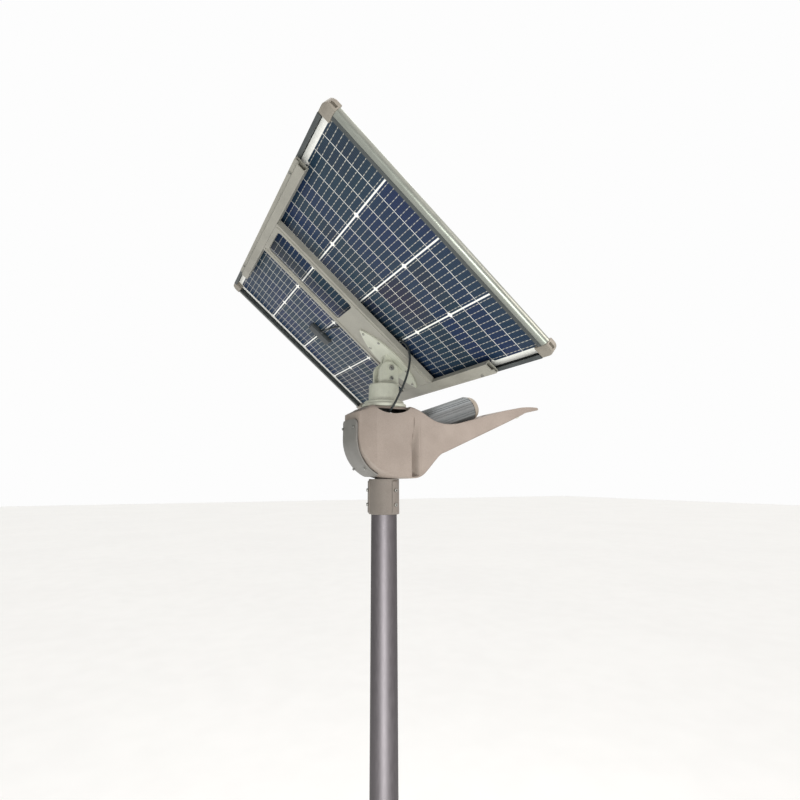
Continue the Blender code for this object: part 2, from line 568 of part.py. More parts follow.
swell = (leaf_half_length ** 2 + leaf_half_width ** 2) / (2 * leaf_half_width)
swing = math.degrees(math.asin(leaf_half_length / swell))
leaf_outline = (arc((leaf_centre, leaf_half_width - swell), swell, 90 - swing, 90 + swing, 24)[:-1]
                + arc((leaf_centre, swell - leaf_half_width), swell, 270 - swing, 270 + swing, 24)[:-1])
leaf = prism("leaf_plate", leaf_outline, leaf_low, leaf_low + leaf_thick, "z", "bracket_paint", panel)
lock_angle = -90 + math.degrees(panel_tilt)        # the lock bolt, seen from the pivot at rest
fin_r = lock_drop + lock_r + 0.007
fin = prism("leaf_fin", [(-0.042, leaf_low + 0.002)]
            + arc((0, 0), fin_r, lock_angle - tilt_back - 17, lock_angle + tilt_down + 17, 18)
            + [(0.042, leaf_low + 0.002)], -lug_half, lug_half, "y", None, panel)
combine(leaf, fin, "UNION")
combine(leaf, prism("fin_gap", rectangle((-0.0045, -0.07), (0.0045, leaf_low - 0.006)), -0.09, 0.09, "x",
                    None, panel))
combine(leaf, turned("fin_bore", [(0, -0.03), (pivot_r + thread_gap, -0.03), (pivot_r + thread_gap, 0.03),
                                  (0, 0.03)],
                     None, panel, sides=32, turn=(RIGHT, 0, 0)))
slot_low, slot_high = lock_angle - tilt_back - 0.6, lock_angle + tilt_down + 0.6
half_slot = lock_r + gap
slot = (arc((0, 0), lock_drop + half_slot, slot_low, slot_high, 16)
        + arc((lock_drop * math.cos(math.radians(slot_high)), lock_drop * math.sin(math.radians(slot_high))),
              half_slot, slot_high, slot_high + 180, 8)[1:]
        + arc((0, 0), lock_drop - half_slot, slot_high, slot_low, 16)[1:]
        + arc((lock_drop * math.cos(math.radians(slot_low)), lock_drop * math.sin(math.radians(slot_low))),
              half_slot, slot_low + 180, slot_low + 360, 8)[1:-1])
combine(leaf, prism("lock_slot", slot, -0.03, 0.03, "y", None, panel))

bar_z = (rail_back + cells_z) - gap                 # faces of the carrier that meet the frame rails
bar_inner = half_short - 0.045
spine_from, spine_to = mid - bar_inner + 0.0005, mid + bar_inner - 0.0005
spine = prism("carrier_spine", rectangle((spine_from, -spine_half_width), (spine_to, spine_half_width)),
              spine_back, bar_z, "z", "carrier_paint", panel)
inset = 0.003
combine(spine, prism("spine_hollow", rectangle((spine_from + inset, inset - spine_half_width),
                                               (spine_to - inset, spine_half_width - inset)),
                     spine_back + spine_plate, bar_z + 0.01, "z", None, panel))
combine(spine, prism("spine_window", rounded((spine_from + 0.016, -0.066), (mid - 0.006, 0.066), 0.014),
                     spine_back - 0.01, spine_back + 0.01, "z", None, panel))
for side in (-1, 1):
    low, high = sorted((side * 0.076, side * 0.083))
    combine(spine, prism("spine_ridge_near" if side < 0 else "spine_ridge_far",
                         rectangle((spine_from + 0.006, low), (spine_to - 0.006, high)),
                         spine_back - 0.0025, spine_back + 0.001, "z", None, panel), "UNION")

leaf_spots = [(-0.1205, 0), (0.1205, 0)] + [(a * 0.067, b * 0.0335) for a in (-1, 1) for b in (-1, 1)]
for index, (along, across) in enumerate(leaf_spots):
    spot = (leaf_centre + along, across, leaf_low - gap)
    for body in (leaf, spine):
        combine(body, turned(f"leaf_bore_{index}_{body.name}", [(0, -0.02), (small_bore, -0.02),
                                                                 (small_bore, 0.02),
                                                                (0, 0.02)],
                             None, panel, spot, sides=16))
    socket_screw(f"leaf_screw_{index + 1}", 0.0020, leaf_thick + spine_plate + 0.003, 0.0045, 0.0030,
                 "stainless_steel", panel, spot, (HALF, 0, 0))

rails = {}
profile = [(0, rail_back), (rail_lip, rail_back), (rail_lip, rail_back + 0.0016),
           (rail_wall, rail_back + 0.0016),
           (rail_wall, -0.0046), (0.009, -0.0046), (0.009, -0.0031), (rail_wall, -0.0031),
           (rail_wall, 0.0031),
           (0.009, 0.0031), (0.009, rail_front), (0, rail_front)]
corner_at_short, corner_at_long = half_short - corner_short, half_long + trim_bulge - corner_long
for side, title in ((-1, "upper"), (1, "lower")):
    outline = [(mid + side * (half_short - d), cells_z + z) for d, z in profile]
    rails[title] = prism(f"frame_long_{title}", outline, -corner_at_long + gap, corner_at_long - gap, "y",
                         "frame_grey", panel)
trim_mid, trim_half = (rail_front + rail_back) / 2, (rail_front - rail_back) / 2
trim = [(-trim_bulge * math.sin(math.pi * i / 12) ** 0.8, trim_mid + trim_half * math.cos(math.pi * i / 12))
        for i in range(1, 12)]
for side, title in ((-1, "near"), (1, "far")):
    outline = [(side * (half_long - d), cells_z + z) for d, z in profile + trim]
    rails[title] = prism(f"frame_short_{title}", outline, mid - corner_at_short + gap,
                         mid + corner_at_short - gap,
                         "x", "frame_grey", panel)

for title, side in (("upper", -1), ("lower", 1)):
    step_in, step_out, foot = bar_inner, half_short - 0.0035, half_short - 0.019
    ledge = spine_back + bar_step                   # the raised outer face that the frame screws hold
    outline = [(mid + side * a, z) for a, z in (
        (step_in, spine_back), (foot, spine_back), (foot + 0.004, ledge), (step_out, ledge),
        (step_out, bar_z),
        (step_in, bar_z))]
    hollow = [(mid + side * a, z) for a, z in (
        (step_in + bar_wall, spine_back + bar_wall), (foot - 0.002, spine_back + bar_wall),
        (foot + 0.001, ledge + bar_wall), (step_out - bar_wall, ledge + bar_wall),
        (step_out - bar_wall, bar_z - bar_wall), (step_in + bar_wall, bar_z - bar_wall))]
    crossbar = prism(f"crossbar_{title}", outline, -bar_half_length, bar_half_length, "y", "carrier_paint",
                     panel)
    combine(crossbar, prism(f"crossbar_hollow_{title}", hollow, -0.4, 0.4, "y", None, panel))
    for index, across in enumerate((-bar_screw_at, bar_screw_at)):
        spot = (mid + side * (half_short - 0.0095), across, ledge - gap)
        for body in (crossbar, rails[title]):
            combine(body, turned(f"frame_bore_{title}_{index}_{body.name}",
                                 [(0, -0.03), (small_bore, -0.03), (small_bore, 0.025), (0, 0.025)],
                                 None, panel,
                                 spot,
                                 sides=16))
        socket_screw(f"frame_screw_{title}_{index + 1}", small_r, small_length, 0.0042, 0.0030,
                     "stainless_steel",
                     panel,
                     spot, (HALF, 0, 0))

edge = 0.0012                                       # free play of the glass in its slot
glass_short, glass_long = half_short - rail_wall - edge, half_long - rail_wall - edge
for name, low, high, paint, inner in (
        ("glass_rear", -0.0028, -0.0028 + glass_thick, "clear_glass", 0),
        ("cell_layer", -cell_thick / 2, cell_thick / 2, "solar_cells", 0.010),
        ("glass_front", 0.0028 - glass_thick, 0.0028, "clear_glass", 0)):
    prism(name, rectangle((mid - glass_short + inner, -glass_long + inner),
                          (mid + glass_short - inner, glass_long - inner)),
          cells_z + low, cells_z + high, "z", paint, panel)

for index, (a, b) in enumerate(((-1, -1), (1, -1), (1, 1), (-1, 1))):
    x0, x1 = sorted((mid + a * corner_at_short, mid + a * half_short))
    y0, y1 = sorted((b * corner_at_long, b * (half_long + trim_bulge)))
    outer = (x1 if a > 0 else x0, y1 if b > 0 else y0)
    centre = (outer[0] - a * corner_r, outer[1] - b * corner_r)
    inner = (x0 if a > 0 else x1, y0 if b > 0 else y1)
    start = math.degrees(math.atan2(b, a)) - 45
    turn_points = arc(centre, corner_r, start, start + 90, 8)
    if a * b > 0:
        outline = [inner, (outer[0], inner[1])] + turn_points + [(inner[0], outer[1])]
    else:
        outline = [inner, (inner[0], outer[1])] + turn_points + [(outer[0], inner[1])]
    corner = prism(f"corner_cap_{index + 1}", outline, cells_z + rail_back, cells_z + rail_front + 0.0006,
                   "z",
                   "end_cap_plastic", panel)
    reach_x, reach_y = mid + a * (glass_short + gap), b * (glass_long + gap)
    inward_x, inward_y = mid + a * (corner_at_short - 0.02), b * (corner_at_long - 0.02)
    pocket = rectangle((min(reach_x, inward_x), min(reach_y, inward_y)),
                       (max(reach_x, inward_x), max(reach_y, inward_y)))
    combine(corner, prism(f"corner_pocket_{index}", pocket, cells_z - 0.0031, cells_z + 0.0031, "z", None,
                          panel))
    slot_y = sorted((outer[1] - b * 0.005, outer[1] + b * 0.01))
    slot_x = sorted((inner[0] + a * 0.003, inner[0] + a * 0.011))
    combine(corner, prism(f"corner_notch_{index}", rectangle((slot_x[0], slot_y[0]), (slot_x[1], slot_y[1])),
                          cells_z - 0.017, cells_z - 0.006, "z", None, panel))

# ---------------------------------------------------------------- junction box and panel lead
box_near, box_far, box_half = 0.306, 0.354, 0.050
box_top = cells_z - 0.0031
box = prism("junction_box", rounded((mid - box_half, box_near), (mid + box_half, box_far), 0.005),
            box_top - 0.0125,
            box_top, "z", "box_plastic", panel)
lid_low, lid_high = (mid - box_half + 0.003, box_near + 0.003), (mid + box_half - 0.003, box_far - 0.003)
combine(box, prism("box_lid", rounded(lid_low, lid_high, 0.004), box_top - 0.0150, box_top - 0.010, "z", None,
                   panel), "UNION")
gland_z = box_top - 0.0082
combine(box, turned("box_gland", [(0, -0.002), (0.0060, -0.002), (0.0060, 0.010), (0, 0.010)], None, panel,
                    (mid, box_near, gland_z), sides=24, turn=(RIGHT, 0, 0)), "UNION")
combine(box, turned("box_gland_bore", [(0, 0.002), (lead_r + gap, 0.002), (lead_r + gap, 0.02), (0, 0.02)],
                    None, panel,
                    (mid, box_near, gland_z), sides=24, turn=(RIGHT, 0, 0)))


def on_panel(down, along, depth):
    """World place of a point: down the slope from the panel centre, along the tilt axis, behind the cells."""
    x, z = mid + down, cells_z - depth
    c, s = math.cos(panel_tilt), math.sin(panel_tilt)
    return (pivot[0] + x * c + z * s, along, head_z + pivot[1] - x * s + z * c)


route = [on_panel(*p) for p in (
    (0.000, 0.302, 0.0113), (0.000, 0.287, 0.0113), (0.000, 0.272, 0.0116), (0.004, 0.240, 0.0125),
    (0.014, 0.190, 0.0125),
    (0.028, 0.140, 0.0125), (0.052, 0.090, 0.0125), (0.086, 0.045, 0.0125), (0.122, 0.000, 0.0125),
    (0.152, -0.045, 0.0125), (0.170, -0.080, 0.0125), (0.179, -0.101, 0.0150))]
route += [(x, y, head_z + z) for x, y, z in (
    (0.030, -0.1140, 0.409), (0.036, -0.1160, 0.378), (0.034, -0.1130, 0.345), (0.028, -0.1060, 0.312),
    (0.018, -0.0970, 0.280), (0.007, -0.0885, 0.252), (-0.002, -0.0820, 0.230), (-0.007, -0.0690, 0.2145),
    (-0.010, -0.0520, 0.202), (-0.014, -0.0420, 0.175), (-0.020, -0.0340, 0.145), (-0.026, -0.0260, 0.118))]
points = [Vector(p) for p in route]
fine = []
for i in range(len(points) - 1):                    # a smooth curve through the route
    a, b, c, d = points[max(i - 1, 0)], points[i], points[i + 1], points[min(i + 2, len(points) - 1)]
    steps = max(2, round((c - b).length / 0.0155))
    for k in range(steps):
        t = k / steps
        fine.append(0.5 * (2 * b + (c - a) * t + (2 * a - 5 * b + 4 * c - d) * t ** 2
                           + (3 * b - a - 3 * c + d) * t ** 3))
fine.append(points[-1])
curve = bpy.data.curves.new("panel_lead", "CURVE")
curve.dimensions = "3D"
curve.bevel_depth, curve.bevel_resolution, curve.use_fill_caps = lead_r, 2, True
line = curve.splines.new("POLY")
line.points.add(len(fine) - 1)
for spot, place in zip(line.points, fine):
    spot.co = (*place, 1)
curve.materials.append(material("lead_jacket"))
lead = bpy.data.objects.new("panel_lead", curve)
bpy.context.scene.collection.objects.link(lead)
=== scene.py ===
# %% [markdown]
# # A solar street lamp, one piece at a time
# The real lamp is a steel pole with a cast aluminium head. A two-sided solar panel tilts above the
# head, and a battery lies in a trough in the arm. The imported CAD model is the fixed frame. Its flat
# pieces keep their shape and get a real finish. Its rounded pieces are made again here as smooth
# surfaces in the same place.

# %% Load the frame
import json
import math

import bmesh
import bpy
import numpy as np
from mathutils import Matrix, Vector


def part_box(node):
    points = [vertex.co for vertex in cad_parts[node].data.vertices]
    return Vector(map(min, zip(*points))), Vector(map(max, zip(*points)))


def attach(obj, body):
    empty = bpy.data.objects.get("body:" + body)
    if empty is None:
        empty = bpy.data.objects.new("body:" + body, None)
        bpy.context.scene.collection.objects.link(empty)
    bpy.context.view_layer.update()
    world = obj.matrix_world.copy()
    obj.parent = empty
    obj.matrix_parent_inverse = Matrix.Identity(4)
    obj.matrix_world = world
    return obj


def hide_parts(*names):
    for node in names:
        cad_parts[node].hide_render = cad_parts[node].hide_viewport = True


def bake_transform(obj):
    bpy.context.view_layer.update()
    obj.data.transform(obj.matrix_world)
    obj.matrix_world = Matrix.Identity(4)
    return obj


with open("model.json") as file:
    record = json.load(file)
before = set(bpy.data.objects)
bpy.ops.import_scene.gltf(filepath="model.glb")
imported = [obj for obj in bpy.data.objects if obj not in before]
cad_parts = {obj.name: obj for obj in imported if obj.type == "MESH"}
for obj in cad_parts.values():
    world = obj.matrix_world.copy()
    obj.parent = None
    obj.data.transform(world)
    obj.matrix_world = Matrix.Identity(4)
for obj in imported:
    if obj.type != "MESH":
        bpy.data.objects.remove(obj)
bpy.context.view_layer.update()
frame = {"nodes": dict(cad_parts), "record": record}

# %% [markdown]
# ## Where things are
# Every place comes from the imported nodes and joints, so the looks follow the CAD. Three slanted
# parts have axes of their own: the arm's underside, the battery and the panel. A small function
# turns points from such axes into the common ones.

# %% Places and slanted axes
joints = {joint["name"]: joint for joint in frame["record"]["behaviour"]["joints"]}
head_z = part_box("lamp_housing")[0][2]           # underside of the lamp housing
pivot = np.array(joints["panel_tilt"]["pos_m"])
panel_tilt = math.radians(39.9)
rear_reach, rear_drop = 0.1195, 0.125           # half axes of the quarter ellipse behind and below the head
pack_slope, arm_slope = math.radians(19.5), math.radians(22.37)


def slanted(points, origin, angle):
    """Turn points by an angle about Y, then move them: x' = x cos + z sin, z' = z cos - x sin."""
    c, s = math.cos(angle), math.sin(angle)
    turned_by = np.array([[c, 0, s], [0, 1, 0], [-s, 0, c]])
    return np.asarray(points) @ turned_by.T + np.asarray(origin)


def on_head(points):
    """From head height 0 to world height."""
    return np.asarray(points) + (0, 0, head_z)


def on_panel(points):
    """Panel axes: x down the slope from the pivot, y along the tilt axis, z to the front."""
    return slanted(points, pivot, panel_tilt)


def on_pack(points):
    """Battery axes: x along the battery from its rear end."""
    return slanted(points, (0.118, 0, head_z + 0.1662), -pack_slope)


def on_arm(points):
    """Arm axes: x along the flat underside of the arm, z up out of it."""
    return slanted(points, (0.181, 0, head_z + 0.077), -arm_slope)


print("head at", round(head_z, 4), "pivot at", pivot.round(4))

# %% [markdown]
# ## The camera
# The lamp is looked at from a little below its head, so the panel's rear face fills the view. The
# shift only frames the lamp as a tall print would.

# %% Camera
camera = bpy.data.objects.new("camera", bpy.data.cameras.new("camera"))
bpy.context.scene.collection.objects.link(camera)
camera.location = (-0.701, -1.464, head_z)
camera.rotation_euler = (math.radians(104.62), 0, math.radians(-25.59))
camera.data.lens, camera.data.sensor_width = 22.23, 36
camera.data.shift_x, camera.data.shift_y = 0.020, -0.0625
camera.data.clip_start = 0.02
bpy.context.scene.camera = camera
print("camera", tuple(round(v, 3) for v in camera.location), "lens", camera.data.lens)

# %% [markdown]
# ## Surfaces from numbers
# Most pieces here are a grid of points: rows along the piece and columns round it. One function
# joins the neighbours of a grid into faces. Another puts one or more grids into a mesh, merges the
# points that meet and turns the faces outward. A third says which body the piece rides on.

# %% Grids into pieces
def grid_faces(rows, columns, around, along, start):
    """Four-sided faces between neighbours; around joins the last column to the first, along the last row."""
    i, j = np.meshgrid(np.arange(rows - (not along)), np.arange(columns - (not around)), indexing="ij")
    a, b = (i + 1) % rows, (j + 1) % columns
    corners = (i * columns + j, i * columns + b, a * columns + b, a * columns + j)
    return (start + np.stack(corners, -1).reshape(-1, 4)).tolist()


def settle(mesh, merge, sharp):
    """Merge the points that meet, turn the faces outward and keep only real edges sharp."""
    bm = bmesh.new()
    bm.from_mesh(mesh)
    bmesh.ops.remove_doubles(bm, verts=bm.verts, dist=merge)
    bmesh.ops.dissolve_degenerate(bm, edges=bm.edges, dist=merge)
    bmesh.ops.recalc_face_normals(bm, faces=bm.faces)
    bm.to_mesh(mesh)
    bm.free()
    mesh.shade_smooth()
    mesh.set_sharp_from_angle(angle=math.radians(sharp))


def soften(piece, width, angle=40):
    """Round the sharp edges with a narrow bevel, as paint and casting do."""
    bevel = piece.modifiers.new("softened edges", "BEVEL")
    bevel.width, bevel.segments, bevel.limit_method = width, 2, "ANGLE"
    bevel.angle_limit = math.radians(angle)
    bevel.harden_normals = True
    return piece


def finished(piece, body, finish, nodes=()):
    """Give a piece its material and its body, and hide the CAD nodes it stands for."""
    piece.data.materials.clear()
    piece.data.materials.append(finish)
    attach(piece, body)
    if nodes:
        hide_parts(*([nodes] if isinstance(nodes, str) else nodes))
    print(f"{piece.name}: {len(piece.data.polygons)} faces on {body}")
    return piece


def shell(name, grids, sharp=32, merge=1e-6):
    """A mesh from grids: tube has flat ends, ring joins its ends, poles ends in points, patch is open."""
    points, faces, start = [], [], 0
    for grid, kind in grids:
        rows, columns = grid.shape[:2]
        faces += grid_faces(rows, columns, kind != "patch", kind == "ring", start)
        if kind == "tube":
            faces += [list(range(start, start + columns)),
                      list(range(start + (rows - 1) * columns, start + rows * columns))]
        points.append(grid.reshape(-1, 3))
        start += rows * columns
    mesh = bpy.data.meshes.new(name)
    mesh.from_pydata(np.concatenate(points).tolist(), [], faces)
    settle(mesh, merge, sharp)
    piece = bpy.data.objects.new(name, mesh)
    bpy.context.scene.collection.objects.link(piece)
    return piece


print("grid helpers ready")

# %% [markdown]
# ### Turned grids
# A turned part is a profile of radii and heights carried round an axis. A nut's or a key's hexagon is
# the same circle with its radius divided by the cosine of the angle to the nearest flat.

# %% Turned grids
def round_about(profile, sides=72, hexes=()):
    """Turn (radius, height) points about Z. A row in hexes is a hexagon of that radius at its flats."""
    radius, height = np.array(profile, float).T
    angle = np.linspace(0, math.tau, sides, endpoint=False)
    to_flat = 1 / np.cos(angle % (math.pi / 3) - math.pi / 6)
    reach = np.where(np.isin(np.arange(len(radius)), hexes)[:, None], to_flat, 1) * radius[:, None]
    return np.stack([reach * np.cos(angle), reach * np.sin(angle), np.tile(height[:, None], sides)], -1)


def aim(grid, origin, axis):
    """Move a grid made about Z so that its Z lies along an axis, with its origin at a point."""
    out = np.array(axis, float) / np.linalg.norm(axis)
    side = np.cross(out, (0, 1, 0) if abs(out[1]) < 0.9 else (1, 0, 0))
    side /= np.linalg.norm(side)
    return grid @ np.array([side, np.cross(out, side), out]) + np.asarray(origin)


print("a turned grid has shape", round_about([(1, 0), (1, 1)]).shape)

# %% [markdown]
# ### Curves through chosen points
# A cord or an outline passes through a few chosen points. Cubics join them, so there is no kink where
# one span meets the next.

# %% Curves
def smooth_path(points, step):
    """Catmull-Rom curve through the points: each span is a cubic whose end slopes join its neighbours."""
    p = np.asarray(points, float)
    before, after = np.vstack([p[:1], p[:-2]]), np.vstack([p[2:], p[-1:]])
    spans = []
    for a, b, c, d in zip(before, p[:-1], p[1:], after):
        t = np.linspace(0, 1, max(2, round(float(np.linalg.norm(c - b)) / step)), endpoint=False)[:, None]
        spans.append(0.5 * (2 * b + (c - a) * t + (2 * a - 5 * b + 4 * c - d) * t ** 2
                            + (3 * b - a - 3 * c + d) * t ** 3))
    return np.vstack(spans + [p[-1:]])


def eased(x, table):
    """A smooth curve through a table of (x, value): cubics whose slopes are the table's own."""
    at, value = np.array(table, float).T
    slope = np.gradient(value, at)
    i = np.clip(np.searchsorted(at, x) - 1, 0, len(at) - 2)
    width = at[i + 1] - at[i]
    t = np.clip((x - at[i]) / width, 0, 1)
    return ((2 * t ** 3 - 3 * t ** 2 + 1) * value[i] + (t ** 3 - 2 * t ** 2 + t) * width * slope[i]
            + (3 * t ** 2 - 2 * t ** 3) * value[i + 1] + (t ** 3 - t ** 2) * width * slope[i + 1])


def ramp(value, low, high):
    """0 below low, 1 above high, and a smooth step between."""
    t = np.clip((value - low) / (high - low), 0, 1)
    return t * t * (3 - 2 * t)


print("halfway along a straight table:", float(eased(0.5, [(0, 0), (1, 1)])))

# %% [markdown]
# ### Measured points and cuts
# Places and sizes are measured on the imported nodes. An opening is cut with a solid of its own shape, as
# a machined one is.

# %% Measures and cuts
def points_of(mesh):
    """All the points of a mesh, as an array."""
    flat = np.empty(len(mesh.vertices) * 3)
    mesh.vertices.foreach_get("co", flat)
    return flat.reshape(-1, 3)


def corners_of(name):
    """All the points of a CAD node."""
    return points_of(frame["nodes"][name].data)


def carve(piece, cutter, finish_from="INDEX"):
    """Cut one closed solid out of another, and throw the cutter away. TRANSFER keeps the cutter's finish."""
    step = piece.modifiers.new("carve", "BOOLEAN")
    step.object, step.operation, step.solver = cutter, "DIFFERENCE", "EXACT"
    step.material_mode = finish_from
    bpy.context.view_layer.update()
    cut = bpy.data.meshes.new_from_object(piece.evaluated_get(bpy.context.evaluated_depsgraph_get()))
    piece.modifiers.remove(step)
    piece.data = cut
    bpy.data.objects.remove(cutter, do_unlink=True)
    return piece


print("helpers ready")

# %% [markdown]
# ## Materials from what the real ones are
# Each finish starts from the real surface. Its colours are sRGB hex values, turned to linear light
# by one function. Its grain has a real size in millimetres, read from the object's own coordinates,
# so the grain stays on the piece when it moves. One function adds a node with its settings and links.

# %% Colour and nodes
def linear(hex_colour):
    """An sRGB hex colour as linear light, with full opacity."""
    value = np.array([int(hex_colour[i:i + 2], 16) for i in (1, 3, 5)]) / 255
    return (*np.where(value <= 0.04045, value / 12.92, ((value + 0.055) / 1.055) ** 2.4).tolist(), 1.0)


def add(material, kind, settings=None, links=None):
    """Add one node. Settings fill its own properties or its sockets, and links feed its sockets."""
    made = material.node_tree.nodes.new(f"ShaderNode{kind}")
    for key, value in (settings or {}).items():
        if isinstance(key, str) and hasattr(made, key):
            setattr(made, key, value)
        else:
            made.inputs[key].default_value = value
    for key, source in (links or {}).items():
        material.node_tree.links.new(source, made.inputs[key])
    return made


def new_finish(name, **shader_values):
    """An empty Principled material, its uniform values set on the shader's own sockets."""
    material = bpy.data.materials.new(name)
    material.use_nodes = True
    shader = material.node_tree.nodes["Principled BSDF"]
    for key, value in shader_values.items():
        shader.inputs[key.replace("_", " ")].default_value = value
    return material, shader


print("mid grey in linear light:", round(linear("#808080")[0], 3))

# %% [markdown]
# ### Grain at its real size
# Paint, plastic and metal are never one flat tone. Two noises give a drift over patches and a fine
# grain. The grain also changes the gloss and the relief a little, so a highlight breaks up softly.
# Grain finer than a millimetre can't be drawn at this distance, so it is drawn coarser.

# %% Grained finish
def grained(name, light, dark, rough, patch_mm, grain_mm, relief_mm, stretch=(1, 1, 1), spread=0.08,
            **shader_values):
    """A finish whose colour drifts over patches and whose grain shows in colour, gloss and relief."""
    material, shader = new_finish(name, **shader_values)
    place = add(material, "TexCoord").outputs["Object"]
    place = add(material, "Mapping", {"Scale": stretch}, {"Vector": place}).outputs["Vector"]
    patch = add(material, "TexNoise", {"Scale": 1000 / patch_mm, "Detail": 3.0},
                {"Vector": place}).outputs["Fac"]
    grain = add(material, "TexNoise", {"Scale": 1000 / grain_mm, "Detail": 2.0},
                {"Vector": place}).outputs["Fac"]
    both = add(material, "Math", {"operation": "MULTIPLY", 1: 0.55}, {0: patch}).outputs[0]
    mixed = add(material, "Math", {"operation": "MULTIPLY_ADD", 1: 0.45}, {0: grain, 2: both}).outputs[0]
    share = add(material, "MapRange", {"From Min": 0.38, "From Max": 0.62},
                {"Value": mixed}).outputs["Result"]
    colour = add(material, "Mix", {"data_type": "RGBA", 6: linear(dark), 7: linear(light)}, {0: share})
    gloss = add(material, "MapRange", {"From Min": 0.3, "From Max": 0.7, "To Min": rough - spread,
                                       "To Max": rough + spread}, {"Value": grain}).outputs["Result"]
    bump = add(material, "Bump", {"Strength": 0.6, "Distance": relief_mm / 1000}, {"Height": grain})
    tree = material.node_tree
    tree.links.new(colour.outputs[2], shader.inputs["Base Color"])
    tree.links.new(gloss, shader.inputs["Roughness"])
    tree.links.new(bump.outputs["Normal"], shader.inputs["Normal"])
    return material


print("grain and patch sizes are given in millimetres")

# %% [markdown]
# ## The lamp's finishes
# The head, bracket and carrier are cast and folded aluminium under a satin powder coat, each of its
# own shade; the bracket's is also painted lighter to cancel the shadow of the panel. The pole is dark
# metallic enamel. Extrusions are anodised, which shows as faint lines along their length. Screws are
# bare stainless steel.

# %% Finishes
# sprayed and baked powder: an even satin skin with the faintest orange peel, so highlights stay broad
head_coat = grained("powder coated cast aluminium", "#938880", "#877C74", 0.46, 70, 3.0, 0.06)
collar_coat = grained("powder coated cast clamp ring", "#7C756F", "#716A64", 0.46, 60, 3.0, 0.06)
# the cover is pressed sheet, so its coat is flatter and a shade darker than the casting's
cover_coat = grained("powder coated pressed aluminium", "#7A7875", "#6F6D6A", 0.46, 60, 3.0, 0.05)
# a cooler powder on sand-cast brackets, its tone painted lighter to cancel the shadow the panel casts on
# them: slight mottling under a satin skin
bracket_coat_lightened = grained("powder coated cast bracket, painted lighter against shadow", "#C4C6B9", "#B4B6A9", 0.44, 50, 2.5, 0.06)
# the same powder on folded sheet: flat between its bends, so light falls evenly
carrier_coat = grained("powder coated folded sheet", "#9E9C93", "#8E8C84", 0.46, 90, 3.0, 0.05)
# baked metallic enamel: dark with a soft metal sheen, so the tube shows one broad bright band down its length
pole_enamel = grained("dark metallic enamel on steel", "#464345", "#3E3B3D", 0.56, 200, 6.0, 0.02,
                      (1, 1, 0.25), 0.04, Metallic=0.75)
# drawn through a die and dyed black: dull metal whose sheen runs along the rail
rail_anodised = grained("black anodised aluminium", "#565B5C", "#454A4B", 0.40, 60, 2.0, 0.02,
                        (0.06, 1, 0.06), Metallic=0.55)
# bright dipped and clear anodised: a soft mirror with faint drawing lines
trim_anodised = grained("silver anodised aluminium", "#9A9E97", "#8A8E87", 0.32, 60, 2.0, 0.015,
                        (0.06, 1, 0.06), 0.04, Metallic=0.85)
# extruded and clear anodised: even dull metal, so each flat facet is one tone and the grooves read dark
pack_anodised = grained("grey anodised extrusion", "#6E7274", "#676B6D", 0.40, 90, 9.0, 0.01, spread=0.03,
                        Metallic=0.45)
# injection moulded from an etched tool: matt, with no grain of its own
cap_plastic = grained("moulded ASA", "#958D82", "#898176", 0.44, 30, 1.8, 0.05)
corner_plastic = grained("moulded weatherproof nylon", "#8F897F", "#7F7970", 0.42, 30, 1.8, 0.05)
# spark-eroded tool: a fine pebble texture that breaks up the highlight
box_plastic = grained("spark-textured ABS", "#3F4447", "#33383B", 0.50, 20, 1.5, 0.08)
# turned on a lathe: clean bright metal with rings too fine to draw, so they are drawn coarser as grain
steel = grained("turned stainless steel", "#B4B4B1", "#969693", 0.26, 6, 0.8, 0.01, Metallic=1.0)
# dipped in molten zinc: patches of crystal a centimetre across, some duller than others
galvanised = grained("hot-dip galvanised steel", "#A4A8AA", "#808488", 0.42, 12, 3.0, 0.03, Metallic=0.9)
# moulded rubber: black with almost no shine
rubber = grained("moulded EPDM rubber", "#1E1F20", "#141516", 0.70, 10, 1.2, 0.05)
# extruded plastic jacket: smooth and black, with a soft line of light along it
lead_jacket = grained("extruded PVC cable jacket", "#1B2326", "#12181A", 0.42, 12, 1.5, 0.03)
# heat-shrunk film over the cells: blue, tight and slightly glossy
cell_wrap = grained("shrink-wrapped cells", "#2C5D9A", "#234B7E", 0.40, 20, 2.0, 0.02)
# moulded milky plastic: light sinks in a few millimetres before it leaves
sensor_plastic = grained("frosted polyethylene", "#D8D8D2", "#C6C6C0", 0.46, 8, 1.0, 0.02,
                         Subsurface_Weight=0.2, Subsurface_Radius=(0.004, 0.003, 0.003))
# printed ink on a circuit board: flat white with a low sheen
board_mask = grained("white solder mask", "#ECEBE3", "#DDDCD3", 0.42, 10, 1.0, 0.01)
# the inside of the hollow: a near black finish, painted shade standing in for the shadow there
painted_shade_inside = grained("painted shade inside the casting", "#171615", "#100F0F", 0.70, 40, 3.0, 0.05)
print("finishes:", len(bpy.data.materials))

# %% [markdown]
# ## Cells seen through their glass
# The panel is a sheet of solar cells between two panes. Each cell is cut in three strips, with thin
# bright lines between them, printed busbars across them, and wider bright gaps between the columns,
# which open into small diamonds where four cut corners meet. The panes lie on the cells, so one
# surface shows both: the cells are its colour, and a clear coat over them is the glass.

# %% The laminate
column_pitch, cell_pitch, strips, busbars = 0.185, 0.1855, 3, 10
strip_pitch, bus_pitch = cell_pitch / strips, column_pitch / busbars
